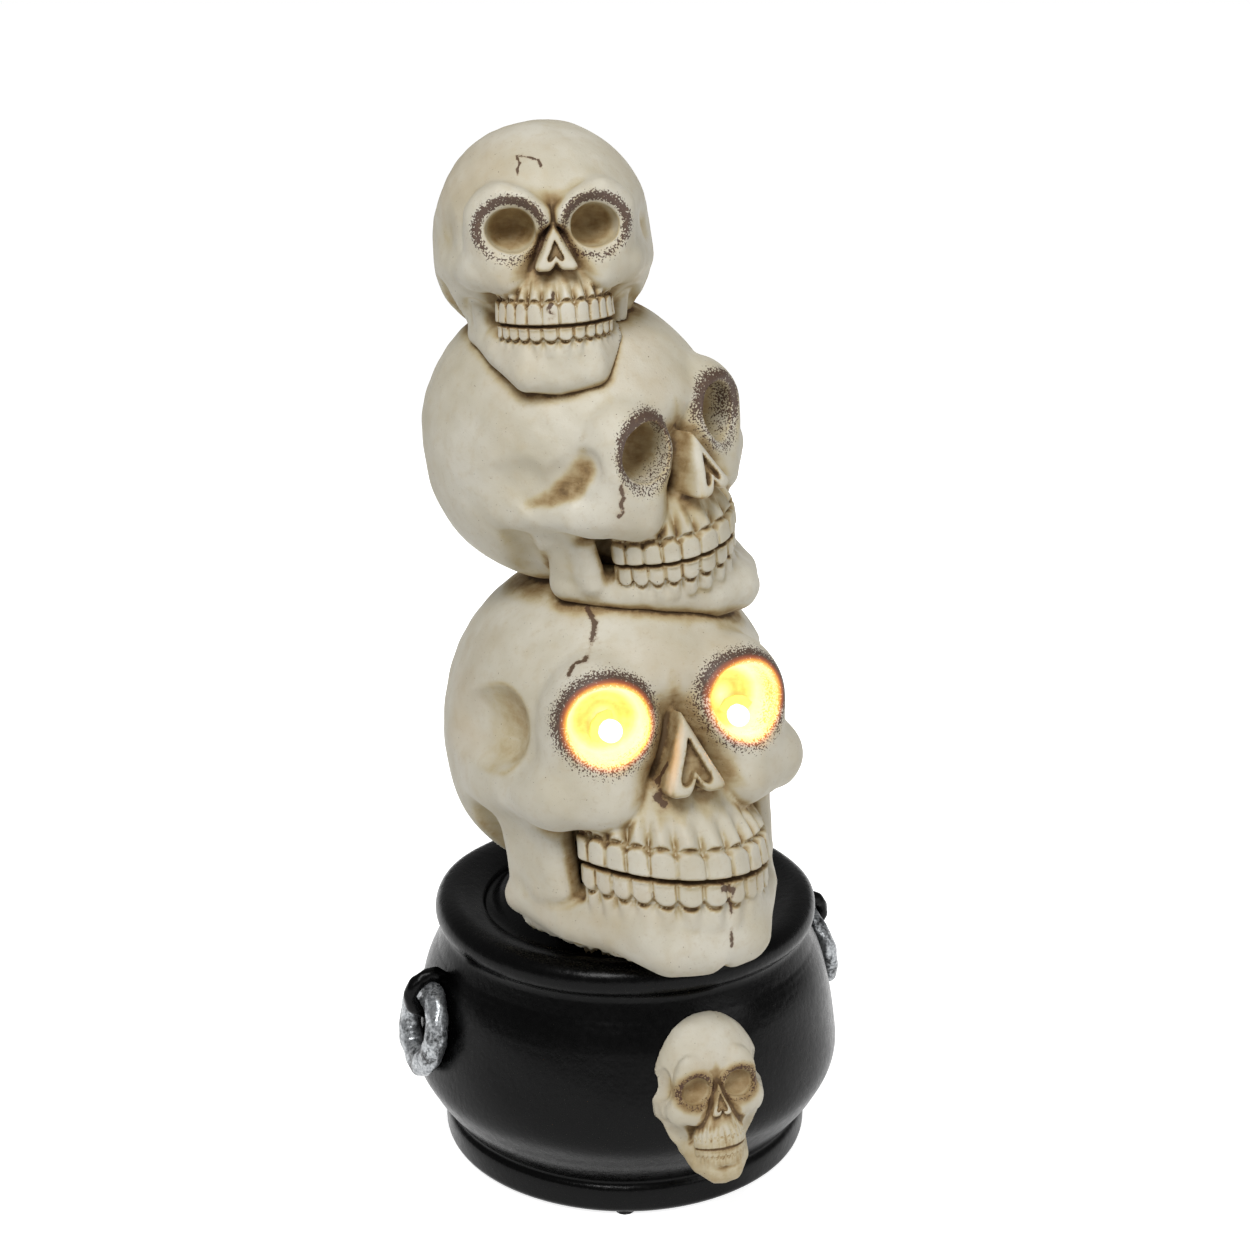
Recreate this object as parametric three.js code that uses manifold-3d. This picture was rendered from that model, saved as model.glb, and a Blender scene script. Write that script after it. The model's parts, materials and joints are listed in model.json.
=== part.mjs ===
// Halloween decoration: three cast skulls stacked on a black cauldron, with battery-lit eyes.
// Millimetres, +Z up, the front faces -Y. All places are given from the cauldron's axis, and the whole is
// then moved back by CENTRE_SHIFT, so that the origin is on the floor below the middle of the whole.

import * as THREE from 'three';
import { mergeVertices } from 'three/addons/utils/BufferGeometryUtils.js';
import Module from 'manifold-3d';

const wasm = await Module();
wasm.setup();

// Fits and cuts
const CLEARANCE = 0.3;
const SEAM = 0.5;
const OVERRUN = 1;
const LATTICE = 0.001;
const CENTRE_SHIFT = 5.6;

// Cauldron casting
const FOOT_RADIUS = 70.3;
const FOOT_HEIGHT = 13;
const FOOT_ROUND = 3.2;
const FOOT_STAND = 0.9;
const FOOT_INNER_RADIUS = 61;
const FOOT_ARC_DEGREES = { lower: [-90, 0], upper: [0, 70] };
const FOOT_ARC_STEPS = 2;
const BELLY_START_RADIUS = 68.6;
const BELLY_RADIUS = 82;
const BELLY_LEVEL = 40;
const SHOULDER_RADIUS = 77;
const SHOULDER_LEVEL = 68;
const THROAT_RADIUS = 71.2;
const THROAT_LEVEL = 82;
const NECK_RADIUS = 69.4;
const NECK_LEVEL = 87;
const LIP_RADIUS = 72.3;
const LIP_LEVEL = 94.5;
const LIP_ROUND = 4.6;
const LIP_ARC_DEGREES = [-50, 60];
const LIP_ARC_STEPS = 3;
const LIP_TOP = 100;
const LIP_CREST_RADIUS = 65;
const MOUTH_RADIUS = 54;
const MOUTH_LEVEL = 96;
const WALL = 6;
const CAULDRON_SIDES = 32;
const OUTER_STEPS = 8;
const INNER_STEPS = 3;
const LOW_BELLY_SHARE = 0.67;
const LIP_INSIDE_SHARE = 0.33;

// Black filling in the mouth
const BREW_SEAT_LEVEL = 84;
const BREW_SEAT_WIDTH = 4;
const BREW_EDGE_LEVEL = 94.5;
const BREW_RING_RADIUS = 45;
const BREW_RING_LEVEL = 98.5;
const BREW_GROOVE_RADIUS = 37;
const BREW_GROOVE_LEVEL = 97;
const BREW_CENTRE_LEVEL = 103;
const BREW_MOUND_RADIUS = 25.5;
const BREW_WAY_RADIUS = 19;
const WIRE_WAY_RADIUS = 14;

// Skulls, lowest first: half width of the cranium, its centre's place or its rise from the centre of the
// skull below, and its turns
const LOWER_SKULL_HALF_WIDTH = 59;
const LOWER_SKULL_PLACE = { x: -4, y: -12, z: 176 };
const LOWER_SKULL_DEGREES = { yaw: 23, pitch: -8.2, roll: -1.9 };
const MIDDLE_SKULL_HALF_WIDTH = 48.4;
const MIDDLE_SKULL_RISE = { x: -12.8, y: 0, z: 103.5 };
const MIDDLE_SKULL_DEGREES = { yaw: 50, pitch: 2.2, roll: -12 };
const TOP_SKULL_HALF_WIDTH = 36.3;
const TOP_SKULL_RISE = { x: -10.8, y: -6, z: 69.1 };
const TOP_SKULL_DEGREES = { yaw: 7.4, pitch: -1.4, roll: -2.6 };
const SKULL_BASE_LEVEL = 97.5;
const JOIN_TUBE_RADIUS = 9;
const JOIN_TUBE_BORE = 5;
const JOIN_TUBE_LENGTH = 34;

// Medallion on the belly: half width, full height scale, relief depth, place round the belly
const MEDALLION_HALF_WIDTH = 20.5;
const MEDALLION_TALL = 26;
const MEDALLION_RELIEF = 11;
const MEDALLION_LEVEL = 57.5;
const MEDALLION_DEGREES = 22;

// Ring handles and their lugs
const RING_RADIUS = 13;
const RING_BAR_RADIUS = 4;
const RING_LEVEL = 59;
const RING_DEGREES = { left: -65, right: 115 };
const LUG_RADIUS = 7.2;
const LUG_BAR_RADIUS = 2.7;
const RING_SIDES = 16;
const RING_BAR_SIDES = 8;

// Lit eyes
const LED_RADIUS = 4;
const LED_BODY = 5;
const LED_FLANGE = 4.7;
const LED_FLANGE_THICK = 1;
const DOME_ARC_DEGREES = [0, 90];
const DOME_STEPS = 4;
const HOLDER_FLANGE_RADIUS = 7.4;
const HOLDER_FLANGE_THICK = 1.6;
const HOLDER_RADIUS = 6;
const HOLDER_LENGTH = 9;
const HOLDER_WAY = 30;
const EYE_WELL = 9;
const LEAD_RADIUS = 1.1;
const LEAD_STRAIGHT = 3;
const LEAD_SIDES = 6;
const LEAD_STEPS = 18;
// The leads' routes by hand: down from the lamps, placed from the skull's centre, and on to the board
const LEAD_DROPS = {
  left: [[-8, 14, -4], [-4, 10, -26], [-2, 6, -51]],
  right: [[14, 10, -4], [7, 8, -26], [5, 6, -51]],
};
const LEAD_RUNS = {
  left: [[-5, -5, 100], [-5, 8, 75], [-6, 26, 45], [-6, 38, 28], [-6, 40, 20], [-6, 40, 14.8]],
  right: [[1, -5, 100], [2, 8, 75], [6, 26, 45], [6, 38, 28], [6, 40, 20], [6, 40, 14.8]],
};

// Bottom cover, its screws and the feet
const COVER_THICK = 4.2;
const COVER_BOTTOM = 3.4;
const LEDGE_WIDTH = 5;
const LEDGE_HEIGHT = 5;
const COVER_SCREW_INSET = 7.5;
const COVER_SCREW_COUNT = 4;
const COVER_SCREW_DEGREES = 45;
const BOSS_RADIUS = 5;
const BOSS_HEIGHT = 16;
const SCREW_RADIUS = 1.4;
const SCREW_HEAD_RADIUS = 2.9;
const SCREW_HEAD_THICK = 1.7;
const SCREW_LENGTH = 11;
const SCREW_SLOT = 0.8;
const PAD_COUNT = 4;
const PAD_RADIUS = 3.6;
const PAD_THICK = 1.6;
const ROUND_SIDES = 12;

// Batteries and their box
const CELL_RADIUS = 7.1;
const CELL_LENGTH = 49.2;
const CELL_NUB_RADIUS = 2.7;
const CELL_NUB = 1.3;
const CELL_COUNT = 3;
const CELL_PITCH = 15;
const CELL_LIFT = 0.6;
const CASE_WALL = 1.6;
const SPRING_RADIUS = 3.9;
const SPRING_WIRE = 0.45;
const SPRING_LENGTH = 5;
const SPRING_TURNS = 3;
const SPRING_STEPS = 7;
const SPRING_WIRE_SIDES = 4;
const SPRING_TAPER_SHARE = 0.3;
const CONTACT_THICK = 0.6;
const CONTACT_SIZE = 10;

// Battery door
const DOOR_THICK = 2.2;
const DOOR_EDGE = 2.4;
const DOOR_PIN_LENGTH = 2.2;
const DOOR_NOTCH = 12;
const DOOR_NOTCH_DEPTH = 3;
const DOOR_GRIP = 1;
const DOOR_GRIP_WIDTH = 18;

// Slide switch
const SWITCH_LENGTH = 13;
const SWITCH_WIDTH = 6.6;
const SWITCH_HEIGHT = 5.4;
const SWITCH_PLACE_Y = -39;
const SLIDER_LENGTH = 3.6;
const SLIDER_WIDTH = 2.8;
const SLIDER_DROP = 1.6;
const SLIDER_CARRIAGE = 6;
const SLIDER_CARRIAGE_WIDTH = 4.4;
const SLIDER_CARRIAGE_THICK = 1.6;
const SWITCH_TRAVEL = 3.6;

// Timer board
const BOARD_LENGTH = 30;
const BOARD_WIDTH = 15;
const BOARD_THICK = 1.6;
const BOARD_PLACE_Y = 40;
const BOARD_STANDOFF = 5;
const STANDOFF_RADIUS = 2.6;
const BOARD_SCREW_SPACING = 22;
const CHIP_LENGTH = 9;
const CHIP_WIDTH = 5;
const CHIP_THICK = 1.8;

// The face, as shares of the cranium's half width. x is to the side and mirrored, -y is forward, z is up.
const CRANIUM_SHARES = { at: [0, 0.06, 0], radii: [1, 1.14, 1] };
const BULGE_SHARES = { at: [0, 0.1, -0.24], radii: [1, 1, 0.86], blend: 0.16 };
const FACE_SHARES = { front: -1.08, high: 0.48, slope: 0.42, steep: 0.92, blend: 0.1 };
const TEMPLE_SHARES = { at: [1.09, -0.52, 0.09], radii: [0.3, 0.3, 0.32], blend: 0.08 };
const UPPER_TEMPLE_SHARES = { at: [1.03, -0.07, -0.11], radii: [0.14, 0.27, 0.16], blend: 0.06 };
const ARCH_SHARES = { from: [0.7, -0.58, -0.26], to: [0.9, 0.04, -0.34], ends: [0.17, 0.1], blend: 0.08 };
const ORBIT_SHARES = { at: [0.39, -0.76, 0.08], radii: [0.37, 0.33, 0.43] };
const CHEEK_SHARES = { from: [0.41, -0.86, -0.3], to: [0.68, -0.62, -0.24], ends: [0.2, 0.2], blend: 0.14, join: 0.08 };
const FROWN_SHARES = {
  points: [[0.1, -1.09, 0.25], [0.24, -1.09, 0.4], [0.44, -1.03, 0.46], [0.68, -0.88, 0.3]],
  radii: [0.11, 0.1, 0.09, 0.06], blend: 0.1,
};
const LOWER_JAW_SHARES = {
  chin: [[-0.26, -0.98, -1.14], [0.03, -1.02, -1.23], [0.32, -0.97, -1.16]], chinRadius: 0.19,
  side: [0.57, -0.64, -1.02], sideRadius: 0.156, angle: [0.74, -0.16, -1.0], angleRadius: 0.13,
  branch: [0.76, -0.08, -0.44], branchRadius: 0.12,
  ledge: [[0, -0.94, -1.04], [0.28, -0.92, -1.02], [0.62, -0.3, -0.92]], ledgeRadii: [0.15, 0.15, 0.13],
};
const MIDDLE_JAW_SHARES = {
  chin: [[-0.26, -1.04, -1.15], [0, -1.1, -1.21], [0.28, -1.08, -1.22]], chinRadius: 0.19,
  side: [0.55, -0.62, -1.02], sideRadius: 0.156, angle: [0.64, -0.32, -0.98], angleRadius: 0.13,
  branch: [0.7, -0.28, -0.48], branchRadius: 0.13,
  ledge: [[0, -1.0, -1.02], [0.28, -0.98, -1.0], [0.58, -0.4, -0.92]], ledgeRadii: [0.15, 0.15, 0.13],
};
const TOP_JAW_SHARES = {
  chin: [[-0.2, -0.98, -1.12], [0, -1.0, -1.18], [0.28, -0.98, -1.15]], chinRadius: 0.18,
  side: [0.51, -0.6, -0.99], sideRadius: 0.156, angle: [0.64, -0.2, -0.88], angleRadius: 0.13,
  branch: [0.64, -0.1, -0.44], branchRadius: 0.12,
  ledge: [[0, -0.94, -0.98], [0.28, -0.92, -0.96], [0.56, -0.3, -0.84]], ledgeRadii: [0.15, 0.15, 0.13],
};
const JAW_BLEND_SHARES = { side: 0.12, ledge: 0.1, branch: 0.08 };
const CORE_SHARES = { at: [0, -0.2, -0.72], radii: [0.5, 0.64, 0.38], blend: 0.06 };
const NECK_SHARES = { at: [0, -0.1, -1.16], radii: [0.5, 0.56, 0.42], blend: 0.1 };
const TEETH_SHARES = {
  centre: -0.54, radii: [0.6, 0.65], top: -0.2, mouth: -0.72, bottom: -1.02, taper: 0.06, narrow: 0.3,
  gum: -0.5, inset: 0.02, round: 0.08, join: 0.04, gap: 0.05, gapDepth: 0.05, overlap: 0.04,
};
const TOOTH_SHARES = {
  edges: [0, 15.5, 29.5, 41.5].map((degrees) => degrees / 360), width: 0.86, inward: 0.1, outward: 0.035,
  upper: 0.2, lower: 0.16, gap: 0.012,
};
const NOSE_SHARES = {
  mass: { at: [0, -0.9, -0.08], radii: [0.2, 0.26, 0.3] },
  side: { from: [0.016, -1.12, 0.12], to: [0.14, -1.22, -0.19], ends: [0.06, 0.075] },
  base: { from: [0.14, -1.22, -0.19], to: [0.04, -1.24, -0.18], ends: [0.075, 0.064] },
  hole: { top: 0.08, bottom: -0.17, halfWidth: 0.1, back: -1.16 }, blend: 0.08, edge: 0.04,
};
const RIM_SHARES = { at: [0.41, -1.13, 0.12], radii: [0.31, 0.2, 0.29], edge: 0.12 };
const SOCKET_SHARES = { at: [0.39, -0.94, 0.12], radii: [0.23, 0.3, 0.21], edge: 0.08 };
const LIT_SOCKET_SHARES = { at: [0.39, -0.94, 0.12], radii: [0.23, 0.16, 0.21], edge: 0.08 };
const HOLLOW_SHARES = { at: [0, 0.12, 0.1], radii: [0.62, 0.66, 0.6] };
const GRID_SHARES = {
  x: [[-1.12, -0.72, 0.1], [-0.72, 0.72, 0.085], [0.72, 1.12, 0.1]],
  y: [[-1.4, -0.5, 0.09], [-0.5, 1.4, 0.19]],
  z: [[-1.8, -1.45, 0.175], [-1.45, -0.8, 0.09], [-0.8, -0.64, 0.05], [-0.64, 0.5, 0.085], [0.5, 1.2, 0.14]],
};
const EYE_SEAT_SHARES = { left: [-0.35, -0.77, 0.07], right: [0.46, -0.77, 0.02] };
const LOWER_COARSENESS = 1.42;
const UPPER_COARSENESS = 1.48;
const MEDALLION_COARSENESS = 1.9;
const SLOPE_SHARE = 0.1;
const SETTLE_STEPS = 3;
const HALVINGS = 14;

// Colours
const BONE = { color: 0xc9bfa6, roughness: 0.62, metalness: 0 };
const BLACK = { color: 0x17171a, roughness: 0.4, metalness: 0 };
const SILVER = { color: 0x8f9194, roughness: 0.38, metalness: 0.7 };
const AMBER = { color: 0xffb648, roughness: 0.2, metalness: 0 };
const DARK_PLASTIC = { color: 0x1e1e20, roughness: 0.55, metalness: 0 };
const GREY_PLASTIC = { color: 0x3a3a3e, roughness: 0.5, metalness: 0 };
const STEEL = { color: 0xb4b6b8, roughness: 0.3, metalness: 1 };
const CELL_SKIN = { color: 0x2f5a46, roughness: 0.35, metalness: 0.1 };
const BOARD_GREEN = { color: 0x1d5a35, roughness: 0.5, metalness: 0 };
const RUBBER = { color: 0x141414, roughness: 0.9, metalness: 0 };
const LEAD_RED = { color: 0x8c1d1a, roughness: 0.5, metalness: 0 };

const decoration = new THREE.Group();

// Meshes and solids

function mesh(name, geometry, look, parent = decoration) {
  const piece = new THREE.Mesh(geometry, new THREE.MeshStandardMaterial(look));
  piece.name = name;
  parent.add(piece);
  return piece;
}

function bare(geometry) {
  const positions = geometry.index ? geometry.toNonIndexed() : geometry;
  const copy = new THREE.BufferGeometry();
  copy.setAttribute('position', positions.getAttribute('position').clone());
  return mergeVertices(copy, LATTICE / 2);
}

function solid(geometry) {
  const merged = bare(geometry);
  const corners = [];
  const index = merged.index.array;
  for (let i = 0; i < index.length; i += 3) {
    const [a, b, c] = [index[i], index[i + 1], index[i + 2]];
    if (a !== b && b !== c && c !== a) corners.push(a, b, c);
  }
  return new wasm.Manifold(new wasm.Mesh({
    numProp: 3,
    vertProperties: new Float32Array(merged.getAttribute('position').array),
    triVerts: new Uint32Array(corners),
  }));
}

// The solid's faces with every corner on a fine lattice, so that no two corners nearly touch
function surface(manifold) {
  const { vertProperties, triVerts, numProp } = manifold.getMesh();
  const slots = new Map();
  const points = [];
  const renamed = [];
  for (let i = 0; i < vertProperties.length; i += numProp) {
    const corner = [0, 1, 2].map((axis) => Math.round(vertProperties[i + axis] / LATTICE));
    const key = corner.join();
    if (!slots.has(key)) {
      slots.set(key, points.length / 3);
      points.push(...corner.map((steps) => steps * LATTICE));
    }
    renamed.push(slots.get(key));
  }
  const faces = new Map();
  for (let i = 0; i < triVerts.length; i += 3) {
    const face = [renamed[triVerts[i]], renamed[triVerts[i + 1]], renamed[triVerts[i + 2]]];
    if (new Set(face).size < 3) continue;
    const key = [...face].sort((m, n) => m - n).join();
    if (faces.has(key)) faces.delete(key);
    else faces.set(key, face);
  }
  const geometry = new THREE.BufferGeometry();
  geometry.setAttribute('position', new THREE.Float32BufferAttribute(points, 3));
  geometry.setIndex([...faces.values()].flat());
  return geometry;
}

function cut(body, ...tools) {
  return surface(tools.reduce((left, tool) => left.subtract(solid(tool)), solid(body)));
}

function join(body, ...others) {
  return surface(others.reduce((left, other) => left.add(solid(other)), solid(body)));
}

// A turned piece about +Z from [radius, level] pairs that close on themselves or end on the axis
function turned(outline, sides = ROUND_SIDES) {
  const points = outline.map(([radius, level]) => new THREE.Vector2(radius, level));
  return new THREE.LatheGeometry(points, sides).rotateX(Math.PI / 2);
}

function rod(radius, low, high, sides = ROUND_SIDES) {
  return turned([[0, low], [radius, low], [radius, high], [0, high]], sides);
}

function pipe(radius, bore, low, high, sides = ROUND_SIDES) {
  return turned([[bore, low], [radius, low], [radius, high], [bore, high], [bore, low]], sides);
}

function block(low, high) {
  const size = high.map((value, axis) => value - low[axis]);
  const centre = high.map((value, axis) => (value + low[axis]) / 2);
  return new THREE.BoxGeometry(...size).translate(...centre);
}

// A round bar along a curve, closed at both ends
function bar(curve, radius, sides, steps) {
  const section = new THREE.Shape();
  for (let i = 0; i < sides; i += 1) {
    const angle = (i / sides) * Math.PI * 2;
    const [x, y] = [radius * Math.cos(angle), radius * Math.sin(angle)];
    if (i === 0) section.moveTo(x, y);
    else section.lineTo(x, y);
  }
  section.closePath();
  return new THREE.ExtrudeGeometry(section, { steps, extrudePath: curve, bevelEnabled: false });
}

// Distances for the cast forms: negative inside

function smoothMin(a, b, width) {
  const near = Math.max(width - Math.abs(a - b), 0) / width;
  return Math.min(a, b) - (near * near * width) / 4;
}

function smoothMax(a, b, width) {
  return -smoothMin(-a, -b, width);
}

function ellipsoid(p, { at, radii }) {
  const x = (p[0] - at[0]) / radii[0];
  const y = (p[1] - at[1]) / radii[1];
  const z = (p[2] - at[2]) / radii[2];
  const reach = Math.hypot(x, y, z);
  const slope = Math.hypot(x / radii[0], y / radii[1], z / radii[2]);
  return slope > 0 ? (reach * (reach - 1)) / slope : -Math.min(...radii);
}

function limb(p, from, to, startRadius, endRadius) {
  const along = to.map((value, axis) => value - from[axis]);
  const offset = p.map((value, axis) => value - from[axis]);
  const length = along[0] ** 2 + along[1] ** 2 + along[2] ** 2;
  const dot = offset[0] * along[0] + offset[1] * along[1] + offset[2] * along[2];
  const share = Math.min(Math.max(dot / length, 0), 1);
  const gap = Math.hypot(...offset.map((value, axis) => value - share * along[axis]));
  return gap - startRadius - (endRadius - startRadius) * share;
}

function chain(p, points, radii) {
  let least = Infinity;
  for (let i = 1; i < points.length; i += 1) {
    least = Math.min(least, limb(p, points[i - 1], points[i], radii[i - 1], radii[i]));
  }
  return least;
}

function lowerJaw(p, q, s) {
  const blend = JAW_BLEND_SHARES;
  const chin = chain(p, s.chin, [s.chinRadius, s.chinRadius, s.chinRadius]);
  const sweep = chain(q, [s.chin.at(-1), s.side, s.angle], [s.chinRadius, s.sideRadius, s.angleRadius]);
  const ledge = chain(q, s.ledge, s.ledgeRadii);
  const branch = limb(q, s.angle, s.branch, s.angleRadius, s.branchRadius);
  const front = smoothMin(smoothMin(chin, sweep, blend.side), ledge, blend.ledge);
  return smoothMin(smoothMin(front, branch, blend.branch), ellipsoid(p, CORE_SHARES), CORE_SHARES.blend);
}

function upperJaw(p, q) {
  const s = TEETH_SHARES;
  const ring = Math.hypot(p[0] / s.radii[0], (p[1] - s.centre) / s.radii[1]);
  const groove = s.gapDepth * Math.max(1 - Math.abs(p[2] - s.mouth) / s.gap, 0);
  const wall = (ring - 1) * Math.min(...s.radii) + groove;
  const lean = s.taper * Math.max(p[2] - s.mouth, 0) + s.narrow * Math.max(p[2] - s.gum, 0);
  const upper = smoothMax(wall + lean, Math.max(p[2] - s.top, s.mouth - s.overlap - p[2]), s.round);
  const lower = smoothMax(wall + s.inset, Math.max(p[2] - s.mouth - s.overlap, s.bottom - p[2]), s.round);
  const n = NOSE_SHARES;
  let face = Math.min(upper, lower);
  face = smoothMin(face, ellipsoid(q, n.mass), n.blend);
  const side = limb(q, n.side.from, n.side.to, ...n.side.ends);
  const base = limb(q, n.base.from, n.base.to, ...n.base.ends);
  return smoothMin(face, Math.min(side, base), n.edge);
}

function noseHole(q) {
  const { top, bottom, halfWidth, back } = NOSE_SHARES.hole;
  const rise = Math.min(Math.max((q[2] - bottom) / (top - bottom), 0), 1);
  return Math.max(q[0] - halfWidth * (1 - rise), bottom - q[2], q[2] - top, q[1] - back);
}

// The whole skull in shares of its half width
function skullForm(p, { brow, socket, neck, jaw, temple }) {
  const q = [Math.abs(p[0]), p[1], p[2]];
  let d = smoothMin(ellipsoid(p, CRANIUM_SHARES), ellipsoid(p, BULGE_SHARES), BULGE_SHARES.blend);
  const { front, high, slope, steep, blend } = FACE_SHARES;
  d = smoothMax(d, (front + (high - p[2]) * slope - p[1]) * steep, blend);
  d = smoothMax(d, -ellipsoid(q, temple), temple.blend);
  d = smoothMin(d, limb(q, ARCH_SHARES.from, ARCH_SHARES.to, ...ARCH_SHARES.ends), ARCH_SHARES.blend);
  const cheekBone = limb(q, CHEEK_SHARES.from, CHEEK_SHARES.to, ...CHEEK_SHARES.ends);
  d = smoothMin(d, smoothMin(ellipsoid(q, ORBIT_SHARES), cheekBone, CHEEK_SHARES.blend), CHEEK_SHARES.join);
  if (brow) d = smoothMin(d, chain(q, brow.points, brow.radii), brow.blend);
  d = smoothMin(d, lowerJaw(p, q, jaw), TEETH_SHARES.join);
  if (neck) d = smoothMin(d, ellipsoid(p, NECK_SHARES), NECK_SHARES.blend);
  d = smoothMin(d, upperJaw(p, q), TEETH_SHARES.join);
  d = smoothMax(d, -ellipsoid(q, RIM_SHARES), RIM_SHARES.edge);
  d = smoothMax(d, -ellipsoid(q, socket), socket.edge);
  return smoothMax(d, -noseHole(q), NOSE_SHARES.edge);
}

function poseOf(place, turn) {
  const matrix = new THREE.Matrix4().makeRotationZ(THREE.MathUtils.degToRad(turn.yaw));
  matrix.multiply(new THREE.Matrix4().makeRotationX(THREE.MathUtils.degToRad(turn.pitch)));
  matrix.multiply(new THREE.Matrix4().makeRotationY(THREE.MathUtils.degToRad(turn.roll)));
  return matrix.setPosition(place.x, place.y, place.z);
}

function skullAt(halfWidth, place, turn, coarseness, features) {
  const pose = poseOf(place, turn);
  const inverse = pose.clone().invert();
  const depth = (x, y, z) => {
    const local = new THREE.Vector3(x, y, z).applyMatrix4(inverse).divideScalar(halfWidth);
    return halfWidth * skullForm(local.toArray(), features);
  };
  return { halfWidth, pose, depth, coarseness };
}

// The lines of a grid along one axis, from zones of [start, end, step]
function ruled(zones, coarseness) {
  const lines = zones.flatMap(([start, end, step]) => {
    const count = Math.max(Math.round((end - start) / (step * coarseness)), 1);
    return Array.from({ length: count }, (_, i) => start + ((end - start) * i) / count);
  });
  return [...lines, zones.at(-1)[1]];
}

function slopeOf(depth, point, step) {
  const axes = [[1, 0, 0], [0, 1, 0], [0, 0, 1]];
  const rises = axes.map(([x, y, z]) => (
    depth(point.x + x * step, point.y + y * step, point.z + z * step)
    - depth(point.x - x * step, point.y - y * step, point.z - z * step)) / (2 * step));
  return new THREE.Vector3(...rises);
}

// Moves a point onto the surface where the depth is zero
function settle(point, depth, step) {
  for (let i = 0; i < SETTLE_STEPS; i += 1) {
    const slope = slopeOf(depth, point, step * SLOPE_SHARE);
    const move = depth(point.x, point.y, point.z) / Math.max(slope.lengthSq(), SLOPE_SHARE);
    point.addScaledVector(slope, -Math.min(Math.max(move, -step), step));
  }
  return point;
}

// A ruled grid over a form, with the depth at each of its corners
function gridOver(depth, frame, scale, coarseness) {
  const lines = [GRID_SHARES.x, GRID_SHARES.y, GRID_SHARES.z].map((zones) => ruled(zones, coarseness));
  const counts = lines.map((line) => line.length);
  const values = new Float64Array(counts[0] * counts[1] * counts[2]);
  const grid = {
    values,
    slot: ([i, j, k]) => (i * counts[1] + j) * counts[2] + k,
    place: ([i, j, k]) => new THREE.Vector3(lines[0][i], lines[1][j], lines[2][k])
      .multiply(scale).applyMatrix4(frame),
    visit: (action, margin) => {
      for (let i = 0; i < counts[0] - margin; i += 1) {
        for (let j = 0; j < counts[1] - margin; j += 1) {
          for (let k = 0; k < counts[2] - margin; k += 1) action([i, j, k]);
        }
      }
    },
  };
  grid.visit((corner) => { values[grid.slot(corner)] = depth(...grid.place(corner)); }, 0);
  return grid;
}

// A grid corner that is so many steps from another along the two axes after the given one
function beside(corner, axis, first, second) {
  const moved = [...corner];
  moved[(axis + 1) % 3] += first;
  moved[(axis + 2) % 3] += second;
  return moved;
}

function ahead(corner, axis) {
  return corner.map((step, n) => (n === axis ? step + 1 : step));
}

// Fills the corner that is nearest to the surface where two inside corners meet only across a face
function closePinches({ values, slot, visit }) {
  let filled = 1;
  while (filled > 0) {
    filled = 0;
    visit((corner) => {
      for (let axis = 0; axis < 3; axis += 1) {
        const ring = [[0, 0], [1, 0], [1, 1], [0, 1]].map((steps) => slot(beside(corner, axis, ...steps)));
        const inside = ring.map((node) => values[node] < 0);
        if (inside[0] !== inside[2] || inside[1] !== inside[3] || inside[0] === inside[1]) continue;
        const [nearest] = ring.filter((node, n) => !inside[n]).sort((m, n) => values[m] - values[n]);
        values[nearest] = -Number.EPSILON;
        filled += 1;
      }
    }, 1);
  }
}

// One point for each grid cell that the surface passes through
function netPoints({ values, slot, place, visit }, depth, step) {
  const cells = new Map();
  const points = [];
  visit((cell) => {
    const crossings = [];
    for (let axis = 0; axis < 3; axis += 1) {
      for (const steps of [[0, 0], [0, 1], [1, 0], [1, 1]]) {
        const from = beside(cell, axis, ...steps);
        const to = ahead(from, axis);
        const [start, end] = [values[slot(from)], values[slot(to)]];
        if (start < 0 !== end < 0) crossings.push(place(from).lerp(place(to), start / (start - end)));
      }
    }
    if (crossings.length === 0) return;
    const middle = new THREE.Vector3();
    crossings.forEach((crossing) => middle.addScaledVector(crossing, 1 / crossings.length));
    cells.set(slot(cell), points.length);
    points.push(settle(middle, depth, step));
  }, 1);
  return { cells, points };
}

// Two faces across each grid edge that the surface crosses, split along the shorter diagonal
function netFaces({ values, slot, visit }, cells, points) {
  const index = [];
  visit((corner) => {
    for (let axis = 0; axis < 3; axis += 1) {
      const inside = values[slot(corner)] < 0;
      if (inside === values[slot(ahead(corner, axis))] < 0) continue;
      const ring = [[0, 0], [-1, 0], [-1, -1], [0, -1]]
        .map((steps) => cells.get(slot(beside(corner, axis, ...steps))));
      if (!inside) ring.reverse();
      const [a, b, c, d] = ring.map((n) => points[n]);
      if (a.distanceTo(c) > b.distanceTo(d)) ring.push(ring.shift());
      index.push(ring[0], ring[1], ring[2], ring[0], ring[2], ring[3]);
    }
  }, 1);
  return index;
}

// The surface of a form as a closed net
function castSurface(depth, frame, scale, coarseness) {
  const grid = gridOver(depth, frame, scale, coarseness);
  closePinches(grid);
  const finest = Math.min(...GRID_SHARES.x.map(([, , step]) => step)) * Math.min(...scale);
  const { cells, points } = netPoints(grid, depth, finest / 2);
  const geometry = new THREE.BufferGeometry().setFromPoints(points);
  geometry.setIndex(netFaces(grid, cells, points));
  return geometry;
}

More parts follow.
